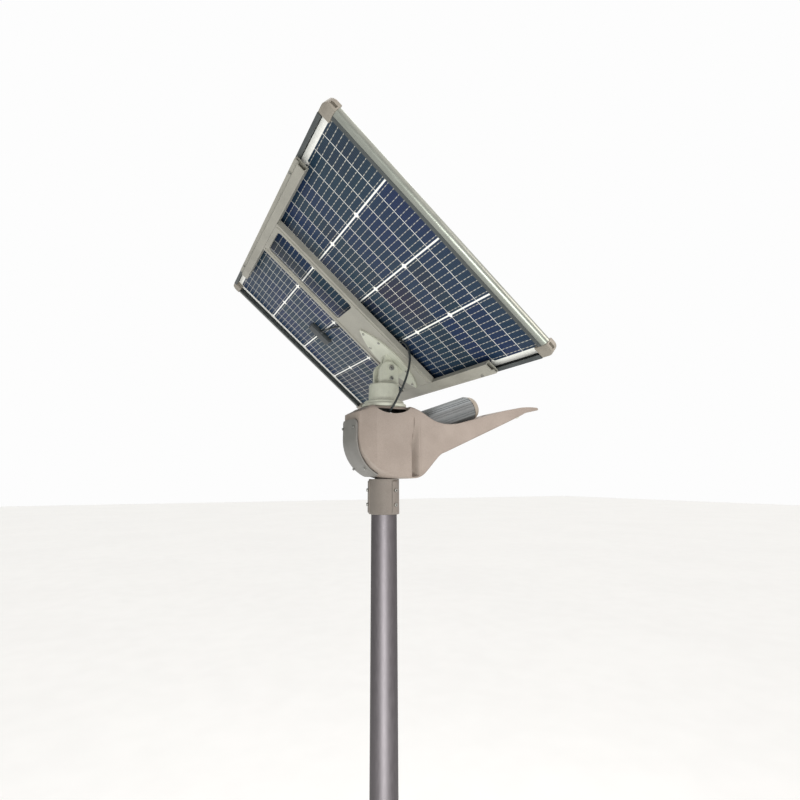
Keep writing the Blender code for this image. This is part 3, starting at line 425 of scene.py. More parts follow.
# name, axis, pitch, offset, half width and soft edge of each set of lines; a real finger line is 0.04 mm
# wide every 1.3 mm, too fine to draw, so it is drawn coarser
line_sets = (
    ("column", "X", column_pitch, 0.0, 0.0024, 0.0004), ("strip", "Y", strip_pitch, 0.0, 0.0008, 0.0004),
    ("bus", "X", bus_pitch, bus_pitch / 2, 0.0008, 0.0004),
    ("bead", "Y", strip_pitch / 4, strip_pitch / 8, 0.0042, 0.0012),
    ("finger", "Y", 0.0062, 0.0, 0.0007, 0.0006), ("cell", "Y", cell_pitch, 0.0, 0.0008, 0.0004))
cell_hues = ((0.10, "#0E1A33"), (0.35, "#17294C"), (0.60, "#1E3444"), (0.75, "#1F2138"), (0.90, "#262330"))


def drawn_lines(material, axes):
    """For each set: how far the nearest line is, and 1 on a line and 0 off it."""
    away, line = {}, {}
    for title, axis, pitch, offset, half, soft in line_sets:
        moved = add(material, "Math", {"operation": "ADD", 1: offset}, {0: axes.outputs[axis]}).outputs[0]
        away[title] = add(material, "Math", {"operation": "PINGPONG", 1: pitch / 2}, {0: moved}).outputs[0]
        line[title] = add(material, "MapRange", {"From Min": half - soft, "From Max": half + soft,
                                                 "To Min": 1.0, "To Max": 0.0},
                          {"Value": away[title]}).outputs["Result"]
    return away, line


print("line sets:", [row[0] for row in line_sets])

# %% [markdown]
# ### Colour of the silicon
# Silicon is blue to violet, by the thickness of its coating. Strips cut from one cell match, and
# neighbours differ a little. A slow drift across the panel stands for what the sheet reflects.

# %% Silicon colour
def cell_colour(material, place, axes):
    """Blue to violet silicon: a tint of its own for each strip, and a slow painted reflection across the
    panel.
    """
    corner = [add(material, "Math", {"operation": "SNAP", 1: pitch}, {0: axes.outputs[axis]}).outputs[0]
              for axis, pitch in (("X", column_pitch), ("Y", strip_pitch))]
    where = add(material, "CombineXYZ", None, {"X": corner[0], "Y": corner[1]}).outputs["Vector"]
    where = add(material, "VectorMath", {"operation": "SCALE", "Scale": 100.0}, {0: where}).outputs["Vector"]
    tint = add(material, "TexWhiteNoise", {"noise_dimensions": "2D"}, {"Vector": where}).outputs["Value"]
    # painted reflection: a slow drift of tone across the panel for what the sheet reflects
    painted_reflection = add(material, "TexNoise", {"Scale": 2.2, "Detail": 1.0}, {"Vector": place}).outputs["Fac"]
    painted_reflection = add(material, "Math", {"operation": "MULTIPLY", 1: 0.75}, {0: painted_reflection}).outputs[0]
    shade = add(material, "Math", {"operation": "MULTIPLY_ADD", 1: 0.25}, {0: tint, 2: painted_reflection}).outputs[0]
    hues = add(material, "ValToRGB", None, {"Fac": shade})
    stops = hues.color_ramp.elements
    stops[0].position, stops[1].position = cell_hues[0][0], cell_hues[-1][0]
    stops[0].color, stops[1].color = linear(cell_hues[0][1]), linear(cell_hues[-1][1])
    for position, colour in cell_hues[1:-1]:
        stops.new(position).color = linear(colour)
    return hues.outputs["Color"]


print("silicon hues:", [hue for _, hue in cell_hues])

# %% [markdown]
# ### The finish itself
# Lines, solder beads and gaps are laid over the silicon from the finest to the widest. The clear coat is
# the glass: smooth, with the index of glass.

# %% Cell finish
def cell_finish(name, panel_middle):
    """Silicon under glass, with its bright gaps, its busbars of solder beads and its fine fingers."""
    material, shader = new_finish(name, Roughness=0.42, Specular_IOR_Level=0.10, Coat_Weight=0.16,
                                  Coat_Roughness=0.02, Coat_IOR=1.5)
    place = add(material, "TexCoord").outputs["Object"]
    place = add(material, "Mapping", {"vector_type": "TEXTURE", "Location": panel_middle,
                                      "Rotation": (0, panel_tilt, 0)}, {"Vector": place}).outputs["Vector"]
    axes = add(material, "SeparateXYZ", None, {"Vector": place})
    away, line = drawn_lines(material, axes)
    cut = add(material, "Math", {"operation": "ADD"}, {0: away["column"], 1: away["cell"]}).outputs[0]
    diamond = add(material, "MapRange", {"From Min": 0.0095, "From Max": 0.0115,
                                          "To Min": 1.0, "To Max": 0.0}, {"Value": cut}).outputs["Result"]
    white = add(material, "Math", {"operation": "MAXIMUM"}, {0: line["column"], 1: line["strip"]}).outputs[0]
    white = add(material, "Math", {"operation": "MAXIMUM"}, {0: white, 1: diamond}).outputs[0]
    for axis, half_size in (("X", 2 * column_pitch), ("Y", 3 * cell_pitch)):
        size = add(material, "Math", {"operation": "ABSOLUTE"}, {0: axes.outputs[axis]}).outputs[0]
        edge = add(material, "Math", {"operation": "GREATER_THAN", 1: half_size}, {0: size}).outputs[0]
        white = add(material, "Math", {"operation": "MAXIMUM"}, {0: white, 1: edge}).outputs[0]
    solder = add(material, "Math", {"operation": "MULTIPLY_ADD", 1: 0.60, 2: 0.22},
                 {0: line["bead"]}).outputs[0]
    bus = add(material, "Math", {"operation": "MULTIPLY"}, {0: line["bus"], 1: solder}).outputs[0]
    finger = add(material, "Math", {"operation": "MULTIPLY", 1: 0.10}, {0: line["finger"]}).outputs[0]
    silicon = cell_colour(material, place, axes)
    for share, colour in ((finger, "#7C8698"), (bus, "#D8D4C8"), (white, "#F8F8F4")):
        silicon = add(material, "Mix", {"data_type": "RGBA", 7: linear(colour)},
                      {0: share, 6: silicon}).outputs[2]
    material.node_tree.links.new(silicon, shader.inputs["Base Color"])
    return material


print("column pitch", column_pitch, "strip pitch", round(strip_pitch, 4))

# %% [markdown]
# ### The laminate in place
# The two panes and the cell sheet between them lie within two millimetres, so all three carry the same
# finish. Its axes start at the middle of the panel, which is measured on the CAD pane.

# %% Laminate finish
glass_points = corners_of("glass_rear")
panel_middle = tuple((glass_points.min(0) + glass_points.max(0)) / 2)
cells = cell_finish("solar cells laminated under tempered glass", panel_middle)
print("panel middle", [round(v, 4) for v in panel_middle])

# %% [markdown]
# ## The panel lead
# A two-core lead leaves the junction box, lies on the panel's rear face, hangs in one loop past the
# bracket and goes into the mouth under the top flange. It crosses both joints. It is made as two
# lengths that meet along the hanging loop.

# %% Lead
lead_r = 0.0035
middle_x = float((np.array(panel_middle) - pivot) @ (math.cos(panel_tilt), 0, -math.sin(panel_tilt)))
cells_z = 0.075
behind = np.array([
    (0.000, 0.302, 0.0113), (0.000, 0.287, 0.0113), (0.000, 0.272, 0.0116), (0.004, 0.240, 0.0125),
    (0.014, 0.190, 0.0125), (0.028, 0.140, 0.0125), (0.052, 0.090, 0.0125), (0.086, 0.045, 0.0125),
    (0.122, 0.000, 0.0125), (0.152, -0.045, 0.0125), (0.170, -0.080, 0.0125), (0.179, -0.101, 0.0150)])
hanging = on_head([
    (0.030, -0.1140, 0.409), (0.036, -0.1160, 0.378), (0.034, -0.1130, 0.345), (0.028, -0.1060, 0.312),
    (0.018, -0.0970, 0.280), (0.007, -0.0885, 0.252), (-0.002, -0.0820, 0.230), (-0.007, -0.0690, 0.2145),
    (-0.010, -0.0520, 0.202), (-0.014, -0.0420, 0.175), (-0.020, -0.0340, 0.145), (-0.026, -0.0260, 0.118)])
lying = on_panel(np.stack([middle_x + behind[:, 0], behind[:, 1], cells_z - behind[:, 2]], -1))
route = smooth_path(np.vstack([lying, hanging]), 0.0055)


def tube_along(path, radius, sides=16):
    """Circles carried along a path, each square to the path and set by one fixed direction."""
    ahead = np.gradient(path, axis=0)
    ahead /= np.linalg.norm(ahead, axis=1, keepdims=True)
    side = np.cross(ahead, (0.31, 0.17, 0.93))
    side /= np.linalg.norm(side, axis=1, keepdims=True)
    angle = np.linspace(0, math.tau, sides, endpoint=False)
    over = np.cross(ahead, side)
    ring = np.cos(angle)[:, None] * side[:, None] + np.sin(angle)[:, None] * over[:, None]
    return path[:, None] + radius * ring


def length_of(path):
    """Length of a path: the sum of the distances from each point to the next."""
    return float(np.linalg.norm(np.diff(path, axis=0), axis=1).sum())


split = int(np.argmin(np.linalg.norm(route - hanging[3], axis=1)))
for name, path, bodies, start, end, into in (
        ("lead_over_panel", route[:split + 1], ("panel", "swivel"), lying[-1], hanging[2], "object"),
        ("lead_into_head", route[split:], ("swivel", "lamp"), hanging[4], hanging[6], "object")):
    lead = shell(name, [(tube_along(path, lead_r), "tube")])
    lead.data.materials.append(lead_jacket)
    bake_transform(lead)
    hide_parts("panel_lead")
    print(name, "is", round(length_of(path), 3), "m long")

# %% [markdown]
# ## Pole
# The pole is a drawn tube, so it is one circle carried along Z. Its rims are rounded a little, as a
# deburred cut is. A fillet of weld metal joins it to the base plate.

# %% Pole and foot
low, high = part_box("pole_tube")
pole_r = high[0]
bore_r, rim = pole_r - 0.0035, 0.0008
pole = shell("pole_tube_smooth", [(round_about([
    (bore_r, low[2]), (pole_r - rim, low[2]), (pole_r, low[2] + rim), (pole_r, high[2] - rim),
    (pole_r - rim, high[2]), (bore_r, high[2])], 120), "ring")])
finished(pole, "lamp", pole_enamel, "pole_tube")

plate_points = corners_of("base_plate")
plate_top = float(plate_points[np.abs(plate_points[:, 0]) > 0.15, 2].max())     # outside the gussets
bead_turn = np.linspace(0, math.tau, 360, endpoint=False)


def weld_bead(name, radius, height, size, ripples):
    """A ring of weld: a small quarter-round swept about Z, its size rippling as each stitch cooled."""
    swell = 1 + 0.10 * np.abs(np.sin(bead_turn * ripples / 2))
    slope = np.radians(np.linspace(0, 90, 7))
    out = np.concatenate([[0.0], np.cos(slope) ** 1.4])[:, None] * size * swell + radius
    up = np.concatenate([[0.0], np.sin(slope) ** 1.4])[:, None] * size * swell + height
    return shell(name, [(np.stack([out * np.cos(bead_turn), out * np.sin(bead_turn), up], -1), "ring")])


finished(weld_bead("foot_weld", pole_r + 0.0002, plate_top + 0.0001, 0.0065, 84), "lamp", pole_enamel)

# %% [markdown]
# ### Cast and folded pieces that keep their shape
# Where the CAD shape is right, a copy of it only needs its edges rounded, as casting, folding and paint
# leave them.

# %% Softened copies
def softened_copy(name, node, width, merge=2e-5):
    """A copy of a CAD node: its loose triangles merged, flat areas joined, and its edges rounded."""
    mesh = frame["nodes"][node].data.copy()
    bm = bmesh.new()
    bm.from_mesh(mesh)
    bmesh.ops.remove_doubles(bm, verts=bm.verts, dist=merge)
    bmesh.ops.dissolve_limit(bm, angle_limit=math.radians(0.5), verts=bm.verts, edges=bm.edges)
    bm.to_mesh(mesh)
    bm.free()
    mesh.shade_smooth()
    mesh.set_sharp_from_angle(angle=math.radians(34))
    piece = bpy.data.objects.new(name, mesh)
    bpy.context.scene.collection.objects.link(piece)
    return soften(piece, width)


finished(softened_copy("base_plate_softened", "base_plate", 0.0012), "lamp", pole_enamel, "base_plate")

# %% [markdown]
# ## Screws and bolts
# Every screw is turned about its axis, with a hexagon driven into its head. Its place and size are
# measured on the CAD node: how far it reaches along its axis and across it.

# %% Screws
def reach(points, direction):
    """How far points reach along a direction: the least and the greatest of their dot products with it."""
    along = points @ np.asarray(direction)
    return float(along.min()), float(along.max())


def socket_screw(node, axis, head_height):
    """A socket head screw along an axis that points out of its head."""
    points = corners_of(node)
    axis = np.array(axis, float) / np.linalg.norm(axis)
    side = np.cross(axis, (0, 1, 0) if abs(axis[1]) < 0.9 else (1, 0, 0))
    side /= np.linalg.norm(side)
    across = np.cross(axis, side)
    low, top = reach(points, axis)
    ends = [reach(points, side), reach(points, across)]
    head_r = (ends[0][1] - ends[0][0]) / 2
    middle = side * sum(ends[0]) / 2 + across * sum(ends[1]) / 2
    shank_r = head_r * 0.50
    seat, key = top - head_height, head_r * 0.50
    profile = [(0, low), (shank_r * 0.8, low), (shank_r, low + shank_r * 0.3), (shank_r, seat),
               (head_r * 0.97, seat), (head_r, seat + head_height * 0.08), (head_r, top - head_height * 0.28),
               (head_r * 0.96, top - head_height * 0.12), (head_r * 0.86, top - head_height * 0.02),
               (head_r * 0.76, top), (key * 1.10, top), (key, top - head_height * 0.06),
               (key, top - head_height * 0.62), (0, top - head_height * 0.66)]
    grid = aim(round_about(profile, 48, hexes=(11, 12)), middle, axis)
    return shell(f"{node}_turned", [(grid, "poles")], sharp=38)


down_panel = on_panel([(0, 0, -1)])[0] - pivot
collar_turns = np.radians([168, 168, -72, -72])
lower_angle = math.radians(46.5)
lower_out = (-math.cos(lower_angle) / rear_reach, 0, -math.sin(lower_angle) / rear_drop)
screws = [(f"collar_screw_{i + 1}", (math.cos(turn), math.sin(turn), 0), 0.0042, "lamp")
          for i, turn in enumerate(collar_turns)]
screws += [(f"rear_cover_screw_{i + 1}", axis, 0.0028, "lamp")
           for i, axis in enumerate([(-1, 0, 0), (-1, 0, 0), lower_out, lower_out])]
screws += [(f"leaf_screw_{i + 1}", down_panel, 0.0030, "panel") for i in range(6)]
screws += [(f"frame_screw_{side}_{i}", down_panel, 0.0030, "panel") for side in ("upper", "lower")
           for i in (1, 2)]
screws += [("swivel_set_screw", (1, 0, 0), 0.0038, "swivel"), ("pivot_bolt", (0, -1, 0), 0.0075, "swivel"),
           ("lock_bolt", (0, -1, 0), 0.0060, "swivel")]
for node, axis, head_height, body in screws:
    finished(socket_screw(node, axis, head_height), body, steel, node)

# %% [markdown]
# ### Anchor studs
# Each anchor is a galvanised stud with a washer and a hexagon nut. Its profile is turned, and the
# thread is one groove repeated up the end.

# %% Anchor studs
def stud(node):
    """An anchor stud with a washer and a hexagon nut; the thread is one groove repeated up the stud."""
    points = corners_of(node)
    low, high = points.min(0), points.max(0)
    middle = (low + high) / 2
    nut_low = plate_top + 0.0003
    core, crest, pitch = 0.0092, 0.0100, 0.0025
    thread = [(crest if i % 2 else core, nut_low + 0.0195 + i * pitch / 2) for i in range(9)]
    profile = [(0, low[2]), (0.010, low[2]), (0.010, nut_low), (0.0180, nut_low), (0.0185, nut_low + 0.0006),
               (0.0185, nut_low + 0.0024), (0.0180, nut_low + 0.0030), (0.0148, nut_low + 0.0031),
               (0.0150, nut_low + 0.0040), (0.0150, nut_low + 0.0180), (0.0146, nut_low + 0.0190),
               (0.0100, nut_low + 0.0192)] + thread + [(0.0080, high[2]), (0, high[2])]
    grid = round_about(profile, 60, hexes=(8, 9)) + (middle[0], middle[1], 0)
    return shell(f"{node}_threaded", [(grid, "poles")], sharp=30)


for index in range(4):
    finished(stud(f"anchor_bolt_{index + 1}"), "lamp", galvanised, f"anchor_bolt_{index + 1}")

# %% [markdown]
# ### Pivot nut
# The nut is a hexagonal ring with chamfered corners. Its flats are measured on the CAD nut.

# %% Pivot nut
nut_low, nut_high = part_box("pivot_nut")
nut_at = [(nut_low[0] + nut_high[0]) / 2, nut_low[1], (nut_low[2] + nut_high[2]) / 2]
nut_flat, nut_height = (nut_high[2] - nut_low[2]) / 2, nut_high[1] - nut_low[1]
nut = round_about([(0.0053, 0), (nut_flat * 0.95, 0), (nut_flat, 0.0007), (nut_flat, nut_height - 0.0007),
                   (nut_flat * 0.95, nut_height), (0.0058, nut_height), (0.0053, nut_height - 0.0005)], 60,
                  hexes=(2, 3))
nut_flat *= math.cos(math.pi / 6)
finished(shell("pivot_nut_turned", [(aim(nut, nut_at, (0, 1, 0)), "ring")], sharp=30), "swivel", steel,
         "pivot_nut")

# %% [markdown]
# ## Collar
# The collar clamps the head to the pole. It is a cast ring with two raised strips for the clamping
# screws. The radius is a function of angle and height: a strip is a smooth step in both.

# %% Collar
collar_low = head_z - 0.106
collar_r, strip_rise = 0.048, 0.0035
turn = np.linspace(0, math.tau, 240, endpoint=False)
levels = np.concatenate([[0, 0.0012, 0.0025, 0.004], np.linspace(0.006, 0.098, 24),
                         [0.0995, 0.101, 0.1025, 0.1045, 0.1057]])


def strip_height(angle, height):
    """1 on a raised strip, 0 off it."""
    share = 0
    for centre in (math.radians(168), math.radians(-72)):
        away = np.abs((angle - centre + math.pi) % math.tau - math.pi) * collar_r
        share = share + ramp(-away, -0.0112, -0.0092)
    return share * ramp(height, 0.0025, 0.006) * ramp(-height, -0.1015, -0.0985)


rim_round = np.sqrt(np.clip(1 - np.clip((0.0015 - levels) / 0.0015, 0, 1) ** 2, 0, 1))
outer = (collar_r - 0.0015 * (1 - rim_round))[:, None]
outer = outer + strip_rise * strip_height(turn[None, :], levels[:, None])
ones = np.ones_like(turn)
rows = [(0.0403 * ones, 0.0 * ones)] + [(r, h * ones) for r, h in zip(outer, levels)]
rows += [(0.030 * ones, 0.1057 * ones), (0.030 * ones, 0.120 * ones), (0.020 * ones, 0.120 * ones),
         (0.020 * ones, 0.094 * ones), (0.0403 * ones, 0.094 * ones)]
radius, height = (np.array(part) for part in zip(*rows))
grid = np.stack([radius * np.cos(turn), radius * np.sin(turn), height + collar_low], -1)
finished(shell("collar_cast", [(grid, "ring")], sharp=40), "lamp", collar_coat, "pole_collar")

# %% [markdown]
# ## Lamp head
# The head is one casting: an upright body with a rounded rear that runs into a long tapering arm. It
# could be carved from a block, but its creases are clearer as four patches that share their borders:
# a belt round the rear and underneath, two side faces, and a lid. Every border is one smooth curve
# through a few chosen points.

# %% Head outline
crease = [(-0.1070, 0.2030), (-0.1070, 0.1500), (-0.1055, 0.1260), (-0.0965, 0.0990), (-0.0820, 0.0765),
          (-0.0560, 0.0500), (-0.0350, 0.0362), (-0.0140, 0.0250), (0.0200, 0.0135), (0.0540, 0.0070),
          (0.0720, 0.0070), (0.0920, 0.0100), (0.1120, 0.0200), (0.1350, 0.0410), (0.1580, 0.0635),
          (0.1810, 0.0830), (0.2050, 0.0929), (0.2350, 0.1052), (0.3210, 0.1406), (0.4430, 0.1908),
          (0.5100, 0.2174), (0.5510, 0.2333), (0.5710, 0.2412), (0.6000, 0.2470), (0.6300, 0.2525),
          (0.6500, 0.2560), (0.6560, 0.2577)]
belt = [(-0.1195, 0.2005), (-0.1195, 0.1500), (-0.1195, 0.1250), (-0.1143, 0.0885), (-0.1035, 0.0625),
        (-0.0815, 0.0336), (-0.0598, 0.0168), (-0.0329, 0.0048), (0.0000, 0.0000), (0.0450, 0.0000),
        (0.0720, 0.0010), (0.0920, 0.0040), (0.1120, 0.0140), (0.1350, 0.0350), (0.1580, 0.0575),
        (0.1810, 0.0770), (0.2050, 0.0869), (0.2350, 0.0992), (0.3210, 0.1346), (0.4430, 0.1848),
        (0.5100, 0.2124), (0.5510, 0.2293), (0.5710, 0.2375), (0.6000, 0.2440), (0.6300, 0.2505),
        (0.6500, 0.2545), (0.6560, 0.2568)]
tops = [(-0.1195, 0.2030), (-0.1070, 0.2070), (-0.1035, 0.2080), (-0.0915, 0.2140), (-0.0768, 0.2225),
        (-0.0598, 0.2255), (0.0400, 0.2255), (0.0720, 0.2245), (0.0920, 0.2180), (0.1120, 0.2090),
        (0.1350, 0.1965), (0.1580, 0.1860), (0.1810, 0.1805), (0.2050, 0.1780), (0.2350, 0.1795),
        (0.3210, 0.1995), (0.4430, 0.2330), (0.5100, 0.2480), (0.5510, 0.2565), (0.5710, 0.2590),
        (0.6000, 0.2620), (0.6300, 0.2638), (0.6500, 0.2634), (0.6560, 0.2612)]
halves = [(-0.0560, 0.0680), (0.0400, 0.0680), (0.0720, 0.0675), (0.0920, 0.0665), (0.1120, 0.0650),
          (0.1350, 0.0630), (0.1580, 0.0610), (0.1810, 0.0590), (0.2050, 0.0575), (0.2350, 0.0560),
          (0.3210, 0.0535), (0.4430, 0.0490), (0.5100, 0.0445), (0.5510, 0.0390), (0.5710, 0.0345),
          (0.6000, 0.0265), (0.6300, 0.0170), (0.6500, 0.0100), (0.6560, 0.0060)]
facet_x, facet_slope = -0.056, 0.125            # behind this line the side faces turn inward


def half_width(x):
    """Half of the head's width at x: the table's curve, and a straight taper behind the facet line."""
    return np.where(x < facet_x, 0.068 + (x - facet_x) * facet_slope, eased(x, halves))


def scoop(x, z):
    """Depth of the groove in each side: a steep wall, then a long rise, deeper towards the floor."""
    depth = 0.0175 * ramp(-z, -0.192, -0.060)
    wall_x = 0.064 + 0.014 * ramp(z, 0.080, 0.188)
    share = np.clip((x - wall_x) / (0.098 - wall_x), 0, 1)
    bowl = ramp(share, 0.0, 0.10) * (1 - ramp(share, 0.22, 0.90))
    leaf = 0.0030 * np.clip((x - 0.056) / (wall_x - 0.056), 0, 1) * (x < wall_x) * ramp(-z, -0.192, -0.184)
    leaf = leaf * ramp(z, 0.085, 0.110)
    ridge = 0.0009 * np.exp(-((x - 0.0995) / 0.0014) ** 2) * ramp(-z, -0.195, -0.185)
    return depth * bowl + leaf - ridge


print("outline points:", len(crease), "groove depth", round(float(scoop(0.080, 0.060)), 4))

# %% [markdown]
# ### The belt
# The belt starts as the rear face, runs under the head and ends at the arm's tip. Its edge is a chamfer
# at the rear and turns into a round under the arm. In plan the rear face is slightly domed.

# %% Belt patch
bow_power = 3.2


def rear_bow(share):
    """How far the rear stands out in plan: 1 in the middle and 0 at the crease, (1 - |share|^p)^(1/p)."""
    return np.clip(1 - np.abs(share) ** bow_power, 0, 1) ** (1 / bow_power)


knots = np.arange(len(crease))
fine = np.concatenate([np.linspace(0, 2, 26)[:-1], np.linspace(2, 9, 90)[:-1], np.linspace(9, 12, 42)[:-1],
                       np.linspace(12, 26, 96)])
border = np.stack([eased(fine, np.stack([knots, np.array(crease)[:, k]], -1)) for k in (0, 1)], -1)
outer = np.stack([eased(fine, np.stack([knots, np.array(belt)[:, k]], -1)) for k in (0, 1)], -1)
rear_rows = 25                                  # rows on the upright rear, the side face's rear border
share = np.array([0, 0.04, 0.15, 0.30, 0.50, 0.70, 0.85, 0.96, 1.0])
under = ramp(fine, 8.0, 11.0)[:, None]          # 0 on the domed rear, 1 under the arm
inward = (1 - under) * share ** 2 + under * (1 - np.cos(share * math.pi / 2))
edge_depth = eased(fine, [(0, 0.0300), (5, 0.0300), (8, 0.0200), (11, 0.0070), (15, 0.0060), (20, 0.0055),
                          (24, 0.0040), (26, 0.0020)])
edge_y = -half_width(border[:, 0])[:, None] + edge_depth[:, None] * inward
flat_share = np.linspace(0, 1, 9)[1:-1]
near_y = np.concatenate([edge_y, edge_y[:, -1:] * (1 - 2 * flat_share)], 1)
rounded_edge = np.concatenate([np.sin(share * math.pi / 2), np.ones(7)])
toward = (1 - under) * rear_bow(near_y / half_width(border[:, :1])) + under * rounded_edge
spot = border[:, None] + (outer - border)[:, None] * toward[..., None]
belt_grid = np.stack([spot[..., 0], near_y, spot[..., 1]], -1)
belt_grid = np.concatenate([belt_grid, belt_grid[:, :len(share)][:, ::-1] * (1, -1, 1)], 1)

print("belt grid:", belt_grid.shape)

# %% [markdown]
# ### Sides, lid and tip
# A side face spans from the belt's border up to the lid. The lid is a strip with two rounded rims. The
# tip closes the arm between the belt and the lid. All four share their border points, so they merge.

# %% Side, lid and tip patches
lid_r = 0.0035
face_x = border[rear_rows:, 0]
face_low = border[rear_rows:, 1]
chamfer = np.interp(face_x, [-0.1070, -0.0900, -0.0768, -0.0500, 0.0000, 0.0500, 0.0800, 0.1000],
                    [0, 0.0060, 0.0095, 0.0100, 0.0090, 0.0050, 0.0020, 0])
rim = (lid_r + 0.8 * chamfer)[:, None]
face_top = eased(face_x, tops) - lid_r * ramp(-face_x, -0.656, -0.60) - chamfer
rise = np.linspace(0, 1, rear_rows + 1)
side_z = face_low[:, None] + (face_top - face_low)[:, None] * rise
side_x = np.repeat(face_x[:, None], rear_rows + 1, 1)
side_x[0], side_z[0] = border[:rear_rows + 1][::-1, 0], border[:rear_rows + 1][::-1, 1]
side_y = half_width(side_x) - scoop(side_x, side_z)
side = np.stack([side_x, -side_y, side_z], -1)
belt_grid[rear_rows:, 0, 1] = side[:, 0, 1]
belt_grid[rear_rows:, -1, 1] = -side[:, 0, 1]

columns = belt_grid.shape[1]
turn_share = np.linspace(0, math.pi / 2, 9)
lid_y = np.concatenate([-side_y[:, -1:] + rim * (1 - np.cos(turn_share)),
                        (-side_y[:, -1:] + rim) * (1 - 2 * flat_share),
                        (side_y[:, -1:] - rim * (1 - np.cos(turn_share)))[:, ::-1]], 1)
lift = np.concatenate([np.sin(turn_share), np.ones(7), np.sin(turn_share)[::-1]])
lid_z = face_top[:, None] + (eased(face_x, tops) - face_top)[:, None] * lift
lid = np.stack([np.repeat(face_x[:, None], columns, 1), lid_y, lid_z], -1)
lid[0] = belt_grid[0]
tip = belt_grid[-1] + (lid[-1] - belt_grid[-1]) * rise[:, None, None]
tip[:, 0], tip[:, -1] = side[-1], side[-1] * (1, -1, 1)
head = shell("lamp_head_casting", [(on_head(grid), "patch") for grid in
                                   (belt_grid, side, side * (1, -1, 1), lid, tip)], sharp=22, merge=2e-5)
print(head.name, "faces:", len(head.data.polygons))

# %% [markdown]
# ## Openings of the head
# The casting is hollow behind its mouths, and has a trough for the battery and a pocket for the light.
# Each opening is cut with a solid of its own shape, because a cut edge stays as crisp as a machined one.

# %% Outlines of the openings
def swept(outline, low, high, axis="y", steps=2):
    """An outline carried straight along an axis."""
    a, b = np.array(outline, float).T
    level = np.linspace(low, high, steps)[:, None] * np.ones_like(a)
    a, b = np.ones((steps, 1)) * a, np.ones((steps, 1)) * b
    order = {"x": (level, a, b), "y": (a, level, b), "z": (a, b, level)}[axis]
    return np.stack(order, -1)


def rounded(low, high, radii, steps=8):
    """A rectangle with its own radius at each corner: lower right, upper right, upper left, lower left."""
    radii = np.broadcast_to(radii, 4)
    spots = ((high[0], low[1], -1, 1, -90), (high[0], high[1], -1, -1, 0), (low[0], high[1], 1, -1, 90),
             (low[0], low[1], 1, 1, 180))
    turns = np.radians(np.linspace(0, 90, steps + 1))
    return np.concatenate([np.stack([x + a * r + r * np.cos(turns + math.radians(start)),
                                     y + b * r + r * np.sin(turns + math.radians(start))], -1)
                           for (x, y, a, b, start), r in zip(spots, radii)])


print("corners of a rounded rectangle:", len(rounded((0, 0), (1, 1), 0.1)))

# %% [markdown]
# ### The cuts
# The mouths and the hollow come first, then the trough for the battery, the light's pocket, the hole for
# the sensor and the socket for the collar's spigot. The hollow's cut faces take a near black finish, painted
# shade for its dark inside.

# %% Cut the openings
circle = np.linspace(0, math.tau, 48, endpoint=False)
mouth = np.stack([0.001 + 0.062 * np.cos(circle), 0.2265 + 0.0255 * np.sin(circle)], -1)
rear_turn = np.radians(np.linspace(0, 84, 24))
rear_curve = np.stack([-0.1120 * np.cos(rear_turn), 0.125 - 0.1170 * np.sin(rear_turn)], -1)
hollow = np.concatenate([[(-0.1120, 0.196)], rear_curve,
                         [(0.080, 0.009), (0.098, 0.030), (0.098, 0.150), (0.060, 0.2185), (-0.040, 0.2185)]])
trough_turn = np.radians(np.linspace(180, 360, 48))
trough_r = 0.0463                               # battery radius and its clearance
trough = np.concatenate([trough_r * np.stack([np.cos(trough_turn), np.sin(trough_turn)], -1),
                         [(trough_r, 0.09), (-trough_r, 0.09)]])
lens_low, lens_high = 0.055, 0.365
light_well = rounded((lens_low + 0.007, -0.033), (lens_high - 0.007, 0.033), 0.006)
lens_seat = rounded((lens_low, -0.037), (lens_high, 0.037), 0.010)
head.data.materials.append(head_coat)
for side in (-1, 1):
    carve(head, shell("cutter", [(on_head(swept(mouth, side * 0.045, side * 0.09)), "tube")]))
inside = shell("cutter", [(on_head(swept(hollow, -0.0500, 0.0500)), "tube")])
# the hollow's faces get the near black finish: painted shade inside the casting
inside.data.materials.append(painted_shade_inside)
carve(head, inside, "TRANSFER")
for grid in (on_pack(swept(trough, -0.010, 0.290, "x")),
             on_arm(swept(light_well, -0.01, 0.020, "z")), on_arm(swept(lens_seat, -0.02, 0.0046, "z")),
             on_arm(np.array([0.402, 0, 0]) + round_about([(0.0088, -0.02), (0.0088, 0.0123)], 32)),
             on_head(round_about([(0.0303, -0.02), (0.0303, 0.020)], 48))):
    carve(head, shell("cutter", [(grid, "tube")]))
print(head.name, "faces after the cuts:", len(head.data.polygons))

# %% [markdown]
# ### Crease of the side faces
# The upright side faces turn inward at one line, by too little for the shading to see it as an edge. So
# the edges on that line are marked sharp, and the crease catches the light as it does on the casting.

# %% Side crease
settle(head.data, 1e-6, 22)
head_points = points_of(head.data)
facet_line = face_x[np.argmin(np.abs(face_x - facet_x))]
on_line = np.abs(head_points[:, 0] - facet_line) < 1e-5
ends = np.empty(len(head.data.edges) * 2, int)
head.data.edges.foreach_get("vertices", ends)
kept_sharp = np.empty(len(head.data.edges), bool)
sharp_edge = head.data.attributes["sharp_edge"].data
sharp_edge.foreach_get("value", kept_sharp)
sharp_edge.foreach_set("value", kept_sharp | on_line[ends.reshape(-1, 2)].all(1))
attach(head, "lamp")
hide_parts("lamp_housing")
print(head.name, "faces:", len(head.data.polygons), "finishes:", [slot.name for slot in head.data.materials])

# %% [markdown]
# ## Rear cover
# A pressed plate follows the rounded rear and is held by four screws. Its upper corners are round. It
# is one strip carried along the rear line: its width narrows as a quarter circle near the top.

# %% Rear cover plate
cover_top = 0.180                               # height of the cover's upper edge above the underside


